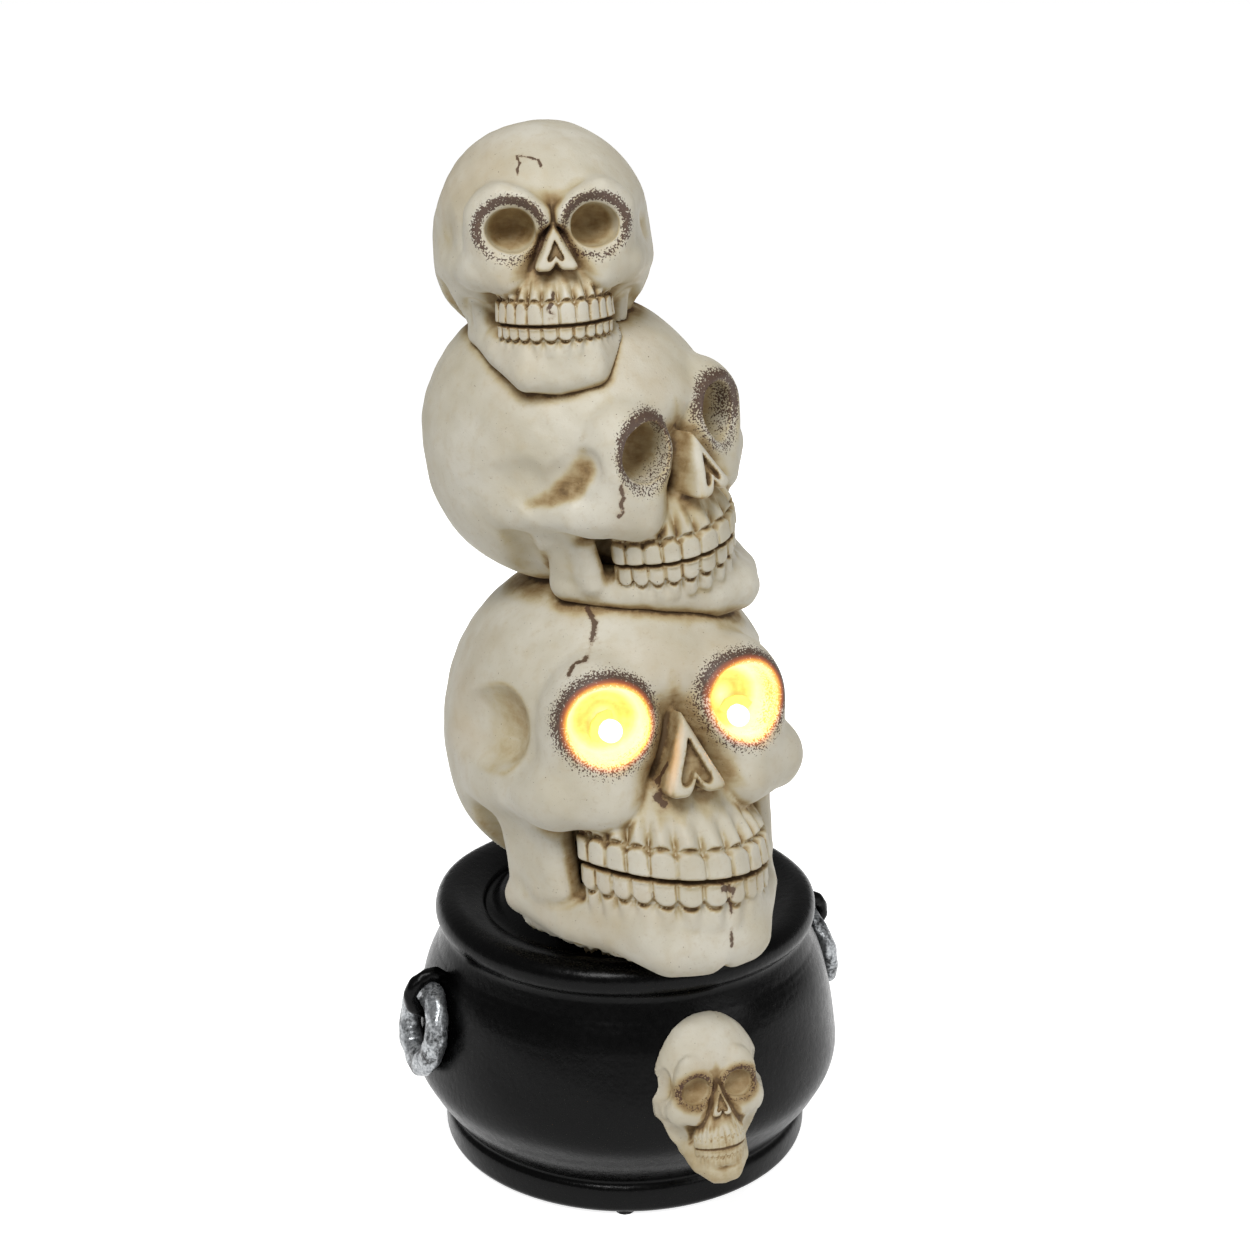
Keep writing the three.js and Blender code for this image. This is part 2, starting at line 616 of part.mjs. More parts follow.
// One row of teeth on the arch, as blocks that are joined to the jaw
function toothRow(skull, height) {
  const { edges, width, inward, outward, gap } = TOOTH_SHARES;
  const [across, forward] = TEETH_SHARES.radii;
  const rows = [-1, 1].flatMap((side) => edges.slice(1).map((edge, i) => [side * edges[i], side * edge]));
  return rows.map(([start, end]) => {
    const angle = (start + end) * Math.PI;
    const span = Math.abs(end - start) * Math.PI * (across + forward) * width;
    const low = TEETH_SHARES.mouth + (height > 0 ? gap : height);
    const high = TEETH_SHARES.mouth + (height > 0 ? height : -gap);
    const tooth = block([-span / 2, -outward, low], [span / 2, inward, high]);
    tooth.rotateZ(Math.atan2(Math.sin(angle) * forward, Math.cos(angle) * across));
    tooth.translate(across * Math.sin(angle), TEETH_SHARES.centre - forward * Math.cos(angle), 0);
    return tooth.scale(skull.halfWidth, skull.halfWidth, skull.halfWidth).applyMatrix4(skull.pose);
  });
}

function castSkull(skull, depth = skull.depth) {
  const scale = new THREE.Vector3().setScalar(skull.halfWidth);
  return castSurface(depth, skull.pose, scale, skull.coarseness);
}

function withTeeth(skull, depth) {
  const rows = [...toothRow(skull, TOOTH_SHARES.upper), ...toothRow(skull, -TOOTH_SHARES.lower)];
  return join(castSkull(skull, depth), ...rows);
}

function hollowOf(skull) {
  const shape = new THREE.SphereGeometry(1, ROUND_SIDES, ROUND_SIDES / 2);
  shape.scale(...HOLLOW_SHARES.radii).translate(...HOLLOW_SHARES.at);
  return shape.scale(skull.halfWidth, skull.halfWidth, skull.halfWidth).applyMatrix4(skull.pose);
}

// A closed geometry along the line between two skull centres
function alongLine(geometry, from, to) {
  const direction = new THREE.Vector3(to.x - from.x, to.y - from.y, to.z - from.z).normalize();
  const turn = new THREE.Quaternion().setFromUnitVectors(new THREE.Vector3(0, 0, 1), direction);
  return geometry.applyQuaternion(turn);
}

// Cauldron outlines

function bellyCurve(inset = 0) {
  const lowBelly = THREE.MathUtils.lerp(BELLY_START_RADIUS, BELLY_RADIUS, LOW_BELLY_SHARE);
  return new THREE.SplineCurve([
    new THREE.Vector2(BELLY_START_RADIUS - inset, FOOT_HEIGHT + OVERRUN),
    new THREE.Vector2(lowBelly - inset, (FOOT_HEIGHT + BELLY_LEVEL) / 2),
    new THREE.Vector2(BELLY_RADIUS - inset, BELLY_LEVEL),
    new THREE.Vector2(SHOULDER_RADIUS - inset, SHOULDER_LEVEL),
    new THREE.Vector2(THROAT_RADIUS - inset, THROAT_LEVEL),
    new THREE.Vector2(NECK_RADIUS - inset, NECK_LEVEL),
  ]);
}

function arcPoints(radius, level, round, [from, to], steps) {
  const points = [];
  for (let i = 0; i <= steps; i += 1) {
    const angle = THREE.MathUtils.degToRad(from + ((to - from) * i) / steps);
    points.push([radius + round * Math.cos(angle), level + round * Math.sin(angle)]);
  }
  return points;
}

const COVER_LEDGE_RADIUS = FOOT_INNER_RADIUS - LEDGE_WIDTH;
const COVER_SCREW_CIRCLE = FOOT_INNER_RADIUS - COVER_SCREW_INSET;
const LEDGE_LEVEL = COVER_BOTTOM + COVER_THICK + CLEARANCE;
const LEDGE_TOP = LEDGE_LEVEL + LEDGE_HEIGHT;
const BREW_SEAT_RADIUS = MOUTH_RADIUS - BREW_SEAT_WIDTH;

function cauldronOutline() {
  const outer = bellyCurve().getPoints(OUTER_STEPS).map((point) => point.toArray());
  const inner = bellyCurve(WALL).getPoints(INNER_STEPS).map((point) => point.toArray()).reverse()
    .filter(([, level]) => level > LEDGE_TOP + WALL && level < BREW_SEAT_LEVEL - WALL);
  const start = [FOOT_INNER_RADIUS, FOOT_STAND];
  return [
    start,
    ...arcPoints(FOOT_RADIUS - FOOT_ROUND, FOOT_STAND + FOOT_ROUND, FOOT_ROUND, FOOT_ARC_DEGREES.lower,
      FOOT_ARC_STEPS),
    ...arcPoints(FOOT_RADIUS - FOOT_ROUND, FOOT_HEIGHT - FOOT_ROUND, FOOT_ROUND, FOOT_ARC_DEGREES.upper,
      FOOT_ARC_STEPS),
    ...outer,
    ...arcPoints(LIP_RADIUS - LIP_ROUND, LIP_LEVEL, LIP_ROUND, LIP_ARC_DEGREES, LIP_ARC_STEPS),
    [LIP_CREST_RADIUS, LIP_TOP],
    [(LIP_CREST_RADIUS + MOUTH_RADIUS) / 2, THREE.MathUtils.lerp(LIP_TOP, MOUTH_LEVEL, LIP_INSIDE_SHARE)],
    [MOUTH_RADIUS, MOUTH_LEVEL],
    [MOUTH_RADIUS, BREW_SEAT_LEVEL],
    [BREW_SEAT_RADIUS, BREW_SEAT_LEVEL],
    [BREW_SEAT_RADIUS, BREW_SEAT_LEVEL - WALL],
    ...inner,
    [COVER_LEDGE_RADIUS, LEDGE_TOP],
    [COVER_LEDGE_RADIUS, LEDGE_LEVEL],
    [FOOT_INNER_RADIUS, LEDGE_LEVEL],
    start,
  ];
}

// The belly with room all round it, to cut what is seated on it
function bellyRoom() {
  const wall = bellyCurve(-CLEARANCE).getPoints(OUTER_STEPS).map((point) => point.toArray());
  return turned([[0, FOOT_HEIGHT + OVERRUN], ...wall, [0, NECK_LEVEL]], CAULDRON_SIDES);
}

function bellyRadiusAt(level) {
  const curve = bellyCurve();
  let [low, high] = [0, 1];
  for (let i = 0; i < HALVINGS; i += 1) {
    const middle = (low + high) / 2;
    if (curve.getPoint(middle).y < level) low = middle;
    else high = middle;
  }
  return curve.getPoint(low).x;
}

// A frame that leans on the belly between two levels: x along the wall, -y outwards, z up the wall
function bellyFrame(degrees, level, reach, standOff) {
  const high = bellyRadiusAt(level + reach);
  const low = bellyRadiusAt(level - reach);
  const radius = (high + low) / 2 + standOff;
  const turn = THREE.MathUtils.degToRad(degrees);
  const frame = new THREE.Matrix4().makeRotationZ(turn);
  frame.setPosition(radius * Math.sin(turn), -radius * Math.cos(turn), level);
  return frame.multiply(new THREE.Matrix4().makeRotationX(-Math.atan2(low - high, reach * 2)));
}

function spread(count, radius, startDegrees = 0) {
  return Array.from({ length: count }, (_, i) => {
    const angle = THREE.MathUtils.degToRad(startDegrees + (360 * i) / count);
    return [radius * Math.cos(angle), radius * Math.sin(angle)];
  });
}

// Skulls and the tubes that join them

function risen(place, rise) {
  return { x: place.x + rise.x, y: place.y + rise.y, z: place.z + rise.z };
}

const MIDDLE_SKULL_PLACE = risen(LOWER_SKULL_PLACE, MIDDLE_SKULL_RISE);
const TOP_SKULL_PLACE = risen(MIDDLE_SKULL_PLACE, TOP_SKULL_RISE);
const lower = skullAt(LOWER_SKULL_HALF_WIDTH, LOWER_SKULL_PLACE, LOWER_SKULL_DEGREES, LOWER_COARSENESS,
  { socket: LIT_SOCKET_SHARES, neck: true, jaw: LOWER_JAW_SHARES, temple: TEMPLE_SHARES });
const middle = skullAt(MIDDLE_SKULL_HALF_WIDTH, MIDDLE_SKULL_PLACE, MIDDLE_SKULL_DEGREES, UPPER_COARSENESS,
  { socket: SOCKET_SHARES, jaw: MIDDLE_JAW_SHARES, temple: UPPER_TEMPLE_SHARES });
const top = skullAt(TOP_SKULL_HALF_WIDTH, TOP_SKULL_PLACE, TOP_SKULL_DEGREES, UPPER_COARSENESS,
  { brow: FROWN_SHARES, socket: SOCKET_SHARES, jaw: TOP_JAW_SHARES, temple: UPPER_TEMPLE_SHARES });
const lowerDepth = (x, y, z) => Math.max(lower.depth(x, y, z), SKULL_BASE_LEVEL - z);
const middleDepth = (x, y, z) => Math.max(middle.depth(x, y, z), SEAM - lower.depth(x, y, z));
const topDepth = (x, y, z) => Math.max(top.depth(x, y, z), SEAM - middle.depth(x, y, z));

// The form with room for a neighbour all round it
function grown(depth) {
  return (x, y, z) => depth(x, y, z) - CLEARANCE;
}

// The point of a skull's cranium that is nearest to another place
function crownOf(skull, towards) {
  const centre = new THREE.Vector3().setFromMatrixPosition(skull.pose);
  const direction = new THREE.Vector3(towards.x, towards.y, towards.z).sub(centre).normalize();
  return centre.addScaledVector(direction, skull.halfWidth);
}

// The way for a joining tube through the crown of one skull into the next
function joinWay(skull, from, to) {
  const half = (JOIN_TUBE_LENGTH + OVERRUN) / 2;
  return alongLine(rod(JOIN_TUBE_RADIUS + CLEARANCE, -half, half), from, to).translate(...crownOf(skull, to));
}

const lowerJoin = () => joinWay(lower, LOWER_SKULL_PLACE, MIDDLE_SKULL_PLACE);
const upperJoin = () => joinWay(middle, MIDDLE_SKULL_PLACE, TOP_SKULL_PLACE);

// Places an eye's pieces: +Z of the piece points out of the socket
function eyePlace(side) {
  const seat = EYE_SEAT_SHARES[side].map((share) => share * LOWER_SKULL_HALF_WIDTH);
  const frame = new THREE.Matrix4().makeRotationX(Math.PI / 2).setPosition(...seat);
  return lower.pose.clone().multiply(frame);
}

function eyeWay(side) {
  const seat = turned([
    [0, -HOLDER_WAY], [HOLDER_RADIUS + CLEARANCE, -HOLDER_WAY], [HOLDER_RADIUS + CLEARANCE, 0],
    [HOLDER_FLANGE_RADIUS + CLEARANCE, 0], [HOLDER_FLANGE_RADIUS + CLEARANCE, EYE_WELL], [0, EYE_WELL],
  ]);
  return seat.applyMatrix4(eyePlace(side));
}

function neckWay() {
  return rod(WIRE_WAY_RADIUS, SKULL_BASE_LEVEL - OVERRUN, LOWER_SKULL_PLACE.z)
    .translate(LOWER_SKULL_PLACE.x, LOWER_SKULL_PLACE.y / 2, 0);
}

function addSkulls() {
  const eyes = Object.keys(EYE_SEAT_SHARES).map(eyeWay);
  const lowerSkin = withTeeth(lower, lowerDepth);
  mesh('skull_lower', cut(lowerSkin, hollowOf(lower), neckWay(), lowerJoin(), ...eyes), BONE);
  const middleSkin = withTeeth(middle, middleDepth);
  const lowerRoom = castSkull(lower, grown(lower.depth));
  mesh('skull_middle', cut(middleSkin, lowerRoom, hollowOf(middle), lowerJoin(), upperJoin()), BONE);
  const topSkin = withTeeth(top, topDepth);
  const middleRoom = castSkull(middle, grown(middle.depth));
  mesh('skull_top', cut(topSkin, middleRoom, hollowOf(top), upperJoin()), BONE);
}

function addJoinTubes() {
  const places = {
    join_tube_lower: [lower, LOWER_SKULL_PLACE, MIDDLE_SKULL_PLACE],
    join_tube_upper: [middle, MIDDLE_SKULL_PLACE, TOP_SKULL_PLACE],
  };
  for (const [name, [skull, from, to]] of Object.entries(places)) {
    const tube = pipe(JOIN_TUBE_RADIUS, JOIN_TUBE_BORE, -JOIN_TUBE_LENGTH / 2, JOIN_TUBE_LENGTH / 2);
    mesh(name, alongLine(tube, from, to).translate(...crownOf(skull, to)), GREY_PLASTIC);
  }
}

// Cauldron, filling, medallion and rings

function addCauldron() {
  const shell = turned(cauldronOutline(), CAULDRON_SIDES);
  const screwPlaces = spread(COVER_SCREW_COUNT, COVER_SCREW_CIRCLE, COVER_SCREW_DEGREES);
  const bosses = screwPlaces.map(([x, y]) => rod(BOSS_RADIUS, LEDGE_LEVEL, LEDGE_LEVEL + BOSS_HEIGHT)
    .translate(x, y, 0));
  const pilots = screwPlaces.map(([x, y]) => rod(SCREW_RADIUS + CLEARANCE, LEDGE_LEVEL - OVERRUN,
    LEDGE_LEVEL + BOSS_HEIGHT - WALL).translate(x, y, 0));
  const padCircle = (FOOT_RADIUS - FOOT_ROUND / 2 + FOOT_INNER_RADIUS) / 2;
  const pockets = spread(PAD_COUNT, padCircle).map(([x, y]) => rod(PAD_RADIUS + CLEARANCE,
    FOOT_STAND - OVERRUN, PAD_THICK + CLEARANCE).translate(x, y, 0));
  mesh('cauldron_body', cut(join(shell, ...bosses), ...pilots, ...pockets), BLACK);
  spread(PAD_COUNT, padCircle).forEach(([x, y], i) => {
    mesh(`foot_pad_${i + 1}`, rod(PAD_RADIUS, 0, PAD_THICK), RUBBER).position.set(x, y, 0);
  });
}

function addBrew() {
  const filling = turned([
    [0, BREW_SEAT_LEVEL + CLEARANCE],
    [MOUTH_RADIUS - CLEARANCE, BREW_SEAT_LEVEL + CLEARANCE],
    [MOUTH_RADIUS - CLEARANCE, BREW_EDGE_LEVEL],
    [(MOUTH_RADIUS + BREW_RING_RADIUS) / 2, (BREW_EDGE_LEVEL + BREW_RING_LEVEL) / 2],
    [BREW_RING_RADIUS, BREW_RING_LEVEL],
    [(BREW_RING_RADIUS + BREW_GROOVE_RADIUS) / 2, (BREW_RING_LEVEL + BREW_GROOVE_LEVEL) / 2],
    [BREW_GROOVE_RADIUS, BREW_GROOVE_LEVEL],
    [BREW_MOUND_RADIUS, BREW_CENTRE_LEVEL],
    [0, BREW_CENTRE_LEVEL],
  ], CAULDRON_SIDES);
  const way = rod(BREW_WAY_RADIUS, BREW_SEAT_LEVEL, BREW_CENTRE_LEVEL + OVERRUN)
    .translate(LOWER_SKULL_PLACE.x, LOWER_SKULL_PLACE.y / 2, 0);
  const lowerRoom = castSkull(lower, grown(lowerDepth));
  mesh('brew_filling', cut(filling, way, lowerRoom), BLACK);
}

function addMedallion() {
  const frame = bellyFrame(MEDALLION_DEGREES, MEDALLION_LEVEL, MEDALLION_HALF_WIDTH, -OVERRUN);
  const inverse = frame.clone().invert();
  const scale = new THREE.Vector3(MEDALLION_HALF_WIDTH, MEDALLION_RELIEF, MEDALLION_TALL);
  const features = { socket: SOCKET_SHARES, jaw: MIDDLE_JAW_SHARES, temple: UPPER_TEMPLE_SHARES };
  const depth = (x, y, z) => {
    const local = new THREE.Vector3(x, y, z).applyMatrix4(inverse).divide(scale);
    return skullForm(local.toArray(), features);
  };
  mesh('skull_medallion', cut(castSurface(depth, frame, scale, MEDALLION_COARSENESS), bellyRoom()), BONE);
}

function addRings() {
  for (const [side, degrees] of Object.entries(RING_DEGREES)) {
    const frame = bellyFrame(degrees, RING_LEVEL, RING_RADIUS, RING_BAR_RADIUS);
    const ring = new THREE.TorusGeometry(RING_RADIUS, RING_BAR_RADIUS, RING_BAR_SIDES, RING_SIDES)
      .rotateX(Math.PI / 2).applyMatrix4(frame);
    mesh(`ring_handle_${side}`, cut(ring, bellyRoom()), SILVER);
    const strap = new THREE.TorusGeometry(LUG_RADIUS, LUG_BAR_RADIUS, RING_BAR_SIDES, RING_SIDES);
    const lug = strap.rotateY(Math.PI / 2).translate(0, 0, RING_RADIUS).applyMatrix4(frame);
    mesh(`ring_lug_${side}`, cut(lug, bellyRoom()), BLACK);
  }
}

// Lit eyes: holder, lamp and the pair of leads down to the board

function addEyes() {
  for (const name of Object.keys(EYE_SEAT_SHARES)) {
    const place = eyePlace(name);
    const holder = turned([
      [LED_RADIUS + CLEARANCE, CLEARANCE - HOLDER_LENGTH], [HOLDER_RADIUS, CLEARANCE - HOLDER_LENGTH],
      [HOLDER_RADIUS, CLEARANCE], [HOLDER_FLANGE_RADIUS, CLEARANCE],
      [HOLDER_FLANGE_RADIUS, HOLDER_FLANGE_THICK], [LED_RADIUS + CLEARANCE, HOLDER_FLANGE_THICK],
      [LED_RADIUS + CLEARANCE, CLEARANCE - HOLDER_LENGTH],
    ]);
    mesh(`led_holder_${name}`, holder.applyMatrix4(place), DARK_PLASTIC);
    const back = -HOLDER_LENGTH - LED_FLANGE_THICK;
    const shoulder = HOLDER_FLANGE_THICK + LED_BODY - LED_RADIUS;
    const dome = arcPoints(0, shoulder, LED_RADIUS, DOME_ARC_DEGREES, DOME_STEPS).slice(0, -1);
    const lamp = turned([
      [0, back], [LED_FLANGE, back], [LED_FLANGE, -HOLDER_LENGTH], [LED_RADIUS, -HOLDER_LENGTH],
      ...dome, [0, shoulder + LED_RADIUS],
    ]);
    mesh(`led_${name}`, lamp.applyMatrix4(place), AMBER);
    const ends = [0, 1, 2].map((i) => new THREE.Vector3(0, 0, back - CLEARANCE - i * LEAD_STRAIGHT)
      .applyMatrix4(place));
    const drop = LEAD_DROPS[name].map((point) => new THREE.Vector3(...point).add(LOWER_SKULL_PLACE));
    const run = LEAD_RUNS[name].map((point) => new THREE.Vector3(...point));
    const curve = new THREE.CatmullRomCurve3([...ends, ...drop, ...run]);
    mesh(`led_lead_${name}`, bar(curve, LEAD_RADIUS, LEAD_SIDES, LEAD_STEPS), LEAD_RED);
  }
}

// Bottom cover, battery box, switch and board

const COVER_TOP = COVER_BOTTOM + COVER_THICK;
const CASE_BOTTOM = COVER_TOP + CLEARANCE;
const CELL_SPAN = CELL_LENGTH + CELL_NUB + SPRING_LENGTH + CONTACT_THICK * 2;
const BAY_LENGTH = CELL_SPAN + CLEARANCE * 4;
const BAY_WIDTH = CELL_PITCH * (CELL_COUNT - 1) + (CELL_RADIUS + CELL_LIFT) * 2;
const BAY_HEIGHT = (CELL_RADIUS + CELL_LIFT) * 2;
const DOOR_LENGTH = BAY_LENGTH + DOOR_EDGE * 2;
const DOOR_WIDTH = BAY_WIDTH + DOOR_EDGE * 2;
const DOOR_PIN_RADIUS = DOOR_THICK / 2;
const HINGE_LEVEL = COVER_BOTTOM + DOOR_PIN_RADIUS;
const HINGE_Y = DOOR_WIDTH / 2 - DOOR_PIN_RADIUS;
const CELL_LEVEL = CASE_BOTTOM + CELL_RADIUS + CELL_LIFT;

function addCover() {
  const disc = rod(FOOT_INNER_RADIUS - CLEARANCE, COVER_BOTTOM, COVER_TOP, CAULDRON_SIDES);
  const recess = block(
    [-DOOR_LENGTH / 2 - CLEARANCE, -DOOR_WIDTH / 2 - CLEARANCE, COVER_BOTTOM - OVERRUN],
    [DOOR_LENGTH / 2 + CLEARANCE, DOOR_WIDTH / 2 + CLEARANCE, COVER_BOTTOM + DOOR_THICK + CLEARANCE],
  );
  const bay = block(
    [-BAY_LENGTH / 2, -BAY_WIDTH / 2, COVER_BOTTOM],
    [BAY_LENGTH / 2, BAY_WIDTH / 2, COVER_TOP + OVERRUN],
  );
  const pinWay = DOOR_PIN_RADIUS + CLEARANCE;
  const notches = [-1, 1].map((side) => block(
    [-DOOR_PIN_LENGTH - CLEARANCE * 2, -pinWay, COVER_BOTTOM - OVERRUN],
    [DOOR_PIN_LENGTH + CLEARANCE * 2, pinWay, HINGE_LEVEL + pinWay],
  ).translate(side * (DOOR_LENGTH / 2), HINGE_Y, 0));
  const finger = block(
    [-DOOR_NOTCH / 2, -DOOR_WIDTH / 2 - DOOR_NOTCH_DEPTH, COVER_BOTTOM - OVERRUN],
    [DOOR_NOTCH / 2, -DOOR_WIDTH / 2, COVER_BOTTOM + DOOR_THICK + CLEARANCE],
  );
  const slot = block(
    [-(SLIDER_LENGTH + SWITCH_TRAVEL) / 2 - CLEARANCE, -SLIDER_WIDTH / 2 - CLEARANCE, 0],
    [(SLIDER_LENGTH + SWITCH_TRAVEL) / 2 + CLEARANCE, SLIDER_WIDTH / 2 + CLEARANCE, COVER_TOP + OVERRUN],
  ).translate(0, SWITCH_PLACE_Y, 0);
  const dish = block(
    [-SWITCH_LENGTH / 2, -SWITCH_WIDTH / 2, COVER_BOTTOM - OVERRUN],
    [SWITCH_LENGTH / 2, SWITCH_WIDTH / 2, COVER_BOTTOM + COVER_THICK / 2],
  ).translate(0, SWITCH_PLACE_Y, 0);
  const screws = spread(COVER_SCREW_COUNT, COVER_SCREW_CIRCLE, COVER_SCREW_DEGREES).flatMap(([x, y]) => [
    rod(SCREW_RADIUS + CLEARANCE, 0, COVER_TOP + OVERRUN).translate(x, y, 0),
    rod(SCREW_HEAD_RADIUS + CLEARANCE, 0, COVER_BOTTOM + SCREW_HEAD_THICK + CLEARANCE).translate(x, y, 0),
  ]);
  const standoffs = [-1, 1].map((side) => pipe(STANDOFF_RADIUS, SCREW_RADIUS / 2 + CLEARANCE,
    COVER_TOP - OVERRUN, COVER_TOP + BOARD_STANDOFF).translate(side * BOARD_SCREW_SPACING / 2,
    BOARD_PLACE_Y, 0));
  mesh('bottom_cover', cut(join(disc, ...standoffs), recess, bay, ...notches, finger, slot, dish,
    ...screws), DARK_PLASTIC);
  spread(COVER_SCREW_COUNT, COVER_SCREW_CIRCLE, COVER_SCREW_DEGREES).forEach(([x, y], i) => {
    const screw = slottedScrew(SCREW_RADIUS, SCREW_HEAD_RADIUS, SCREW_HEAD_THICK, SCREW_LENGTH);
    mesh(`cover_screw_${i + 1}`, screw, STEEL).position.set(x, y, COVER_BOTTOM);
  });
}

// A slotted screw with its head's face at level 0 and its shank pointing up
function slottedScrew(radius, headRadius, headThick, length) {
  const blank = turned([[0, 0], [headRadius, 0], [headRadius, headThick], [radius, headThick],
    [radius, length], [0, length]]);
  const slot = block([-headRadius * 2, -SCREW_SLOT / 2, -OVERRUN],
    [headRadius * 2, SCREW_SLOT / 2, headThick / 2]);
  return cut(blank, slot);
}

function addBatteryBox() {
  const outer = block(
    [-BAY_LENGTH / 2 - CASE_WALL, -BAY_WIDTH / 2 - CASE_WALL, CASE_BOTTOM],
    [BAY_LENGTH / 2 + CASE_WALL, BAY_WIDTH / 2 + CASE_WALL, CASE_BOTTOM + BAY_HEIGHT + CASE_WALL],
  );
  const inner = block(
    [-BAY_LENGTH / 2, -BAY_WIDTH / 2, CASE_BOTTOM - OVERRUN],
    [BAY_LENGTH / 2, BAY_WIDTH / 2, CASE_BOTTOM + BAY_HEIGHT],
  );
  mesh('battery_case', cut(outer, inner), DARK_PLASTIC);
  for (let i = 0; i < CELL_COUNT; i += 1) {
    const facing = i % 2 === 0 ? 1 : -1;
    const row = new THREE.Group();
    row.position.set(0, (i - (CELL_COUNT - 1) / 2) * CELL_PITCH, CELL_LEVEL);
    row.rotation.y = facing * Math.PI / 2;
    decoration.add(row);
    const foot = -CELL_SPAN / 2 + SPRING_LENGTH + CONTACT_THICK;
    const head = foot + CELL_LENGTH;
    mesh(`battery_${i + 1}`, turned([[0, foot], [CELL_RADIUS, foot], [CELL_RADIUS, head],
      [CELL_NUB_RADIUS, head], [CELL_NUB_RADIUS, head + CELL_NUB], [0, head + CELL_NUB]]), CELL_SKIN, row);
    const plate = [CONTACT_SIZE / 2, CONTACT_SIZE / 2, CONTACT_THICK / 2];
    const leaf = () => block(plate.map((value) => -value), plate);
    const end = CELL_SPAN / 2 + CLEARANCE * 2 - CONTACT_THICK / 2;
    mesh(`contact_plate_${i + 1}`, leaf(), STEEL, row).position.z = end;
    mesh(`contact_spring_${i + 1}`, springOn(leaf()), STEEL, row).position.z = -end;
  }
}

// A contact leaf with a coil that tapers towards the cell
function springOn(leaf) {
  const rise = SPRING_LENGTH - CLEARANCE * 2;
  const points = [];
  const steps = SPRING_TURNS * SPRING_STEPS;
  for (let i = 0; i <= steps; i += 1) {
    const share = i / steps;
    const radius = SPRING_RADIUS * (1 - SPRING_TAPER_SHARE * share);
    const angle = share * SPRING_TURNS * Math.PI * 2;
    const level = CONTACT_THICK / 2 + rise * share;
    points.push(new THREE.Vector3(radius * Math.cos(angle), radius * Math.sin(angle), level));
  }
  const coil = bar(new THREE.CatmullRomCurve3(points), SPRING_WIRE, SPRING_WIRE_SIDES, steps);
  return join(leaf, coil);
}

function addDoor() {
  const plate = block(
    [-DOOR_LENGTH / 2, -DOOR_WIDTH / 2, COVER_BOTTOM],
    [DOOR_LENGTH / 2, HINGE_Y, COVER_BOTTOM + DOOR_THICK],
  );
  const reach = DOOR_LENGTH / 2 + DOOR_PIN_LENGTH;
  const pin = rod(DOOR_PIN_RADIUS, -reach, reach).rotateY(Math.PI / 2).translate(0, HINGE_Y, HINGE_LEVEL);
  const grips = [0, 1, 2].map((i) => block(
    [-DOOR_GRIP_WIDTH / 2, -DOOR_GRIP / 2, COVER_BOTTOM - OVERRUN],
    [DOOR_GRIP_WIDTH / 2, DOOR_GRIP / 2, COVER_BOTTOM + DOOR_GRIP / 2],
  ).translate(0, -DOOR_WIDTH / 2 + DOOR_NOTCH_DEPTH + i * DOOR_GRIP * 2, 0));
  mesh('battery_door', cut(join(plate, pin), ...grips), DARK_PLASTIC);
}

function addSwitch() {
  const group = new THREE.Group();
  group.position.set(0, SWITCH_PLACE_Y, 0);
  decoration.add(group);
  const bottom = COVER_TOP + CLEARANCE;
  const carriageTop = bottom + SLIDER_CARRIAGE_THICK + CLEARANCE * 2;
  const body = block([-SWITCH_LENGTH / 2, -SWITCH_WIDTH / 2, bottom],
    [SWITCH_LENGTH / 2, SWITCH_WIDTH / 2, bottom + SWITCH_HEIGHT]);
  const room = block(
    [-(SLIDER_CARRIAGE + SWITCH_TRAVEL) / 2 - CLEARANCE, -SLIDER_CARRIAGE_WIDTH / 2 - CLEARANCE,
      bottom - OVERRUN],
    [(SLIDER_CARRIAGE + SWITCH_TRAVEL) / 2 + CLEARANCE, SLIDER_CARRIAGE_WIDTH / 2 + CLEARANCE,
      carriageTop + CLEARANCE],
  );
  mesh('switch_body', cut(body, room), GREY_PLASTIC, group);
  const knob = block([-SLIDER_LENGTH / 2, -SLIDER_WIDTH / 2, COVER_BOTTOM + SLIDER_DROP - CLEARANCE],
    [SLIDER_LENGTH / 2, SLIDER_WIDTH / 2, carriageTop]);
  const carriage = block(
    [-SLIDER_CARRIAGE / 2, -SLIDER_CARRIAGE_WIDTH / 2, carriageTop - SLIDER_CARRIAGE_THICK],
    [SLIDER_CARRIAGE / 2, SLIDER_CARRIAGE_WIDTH / 2, carriageTop],
  );
  mesh('switch_slider', join(carriage, knob), DARK_PLASTIC, group).position.x = -SWITCH_TRAVEL / 2;
}

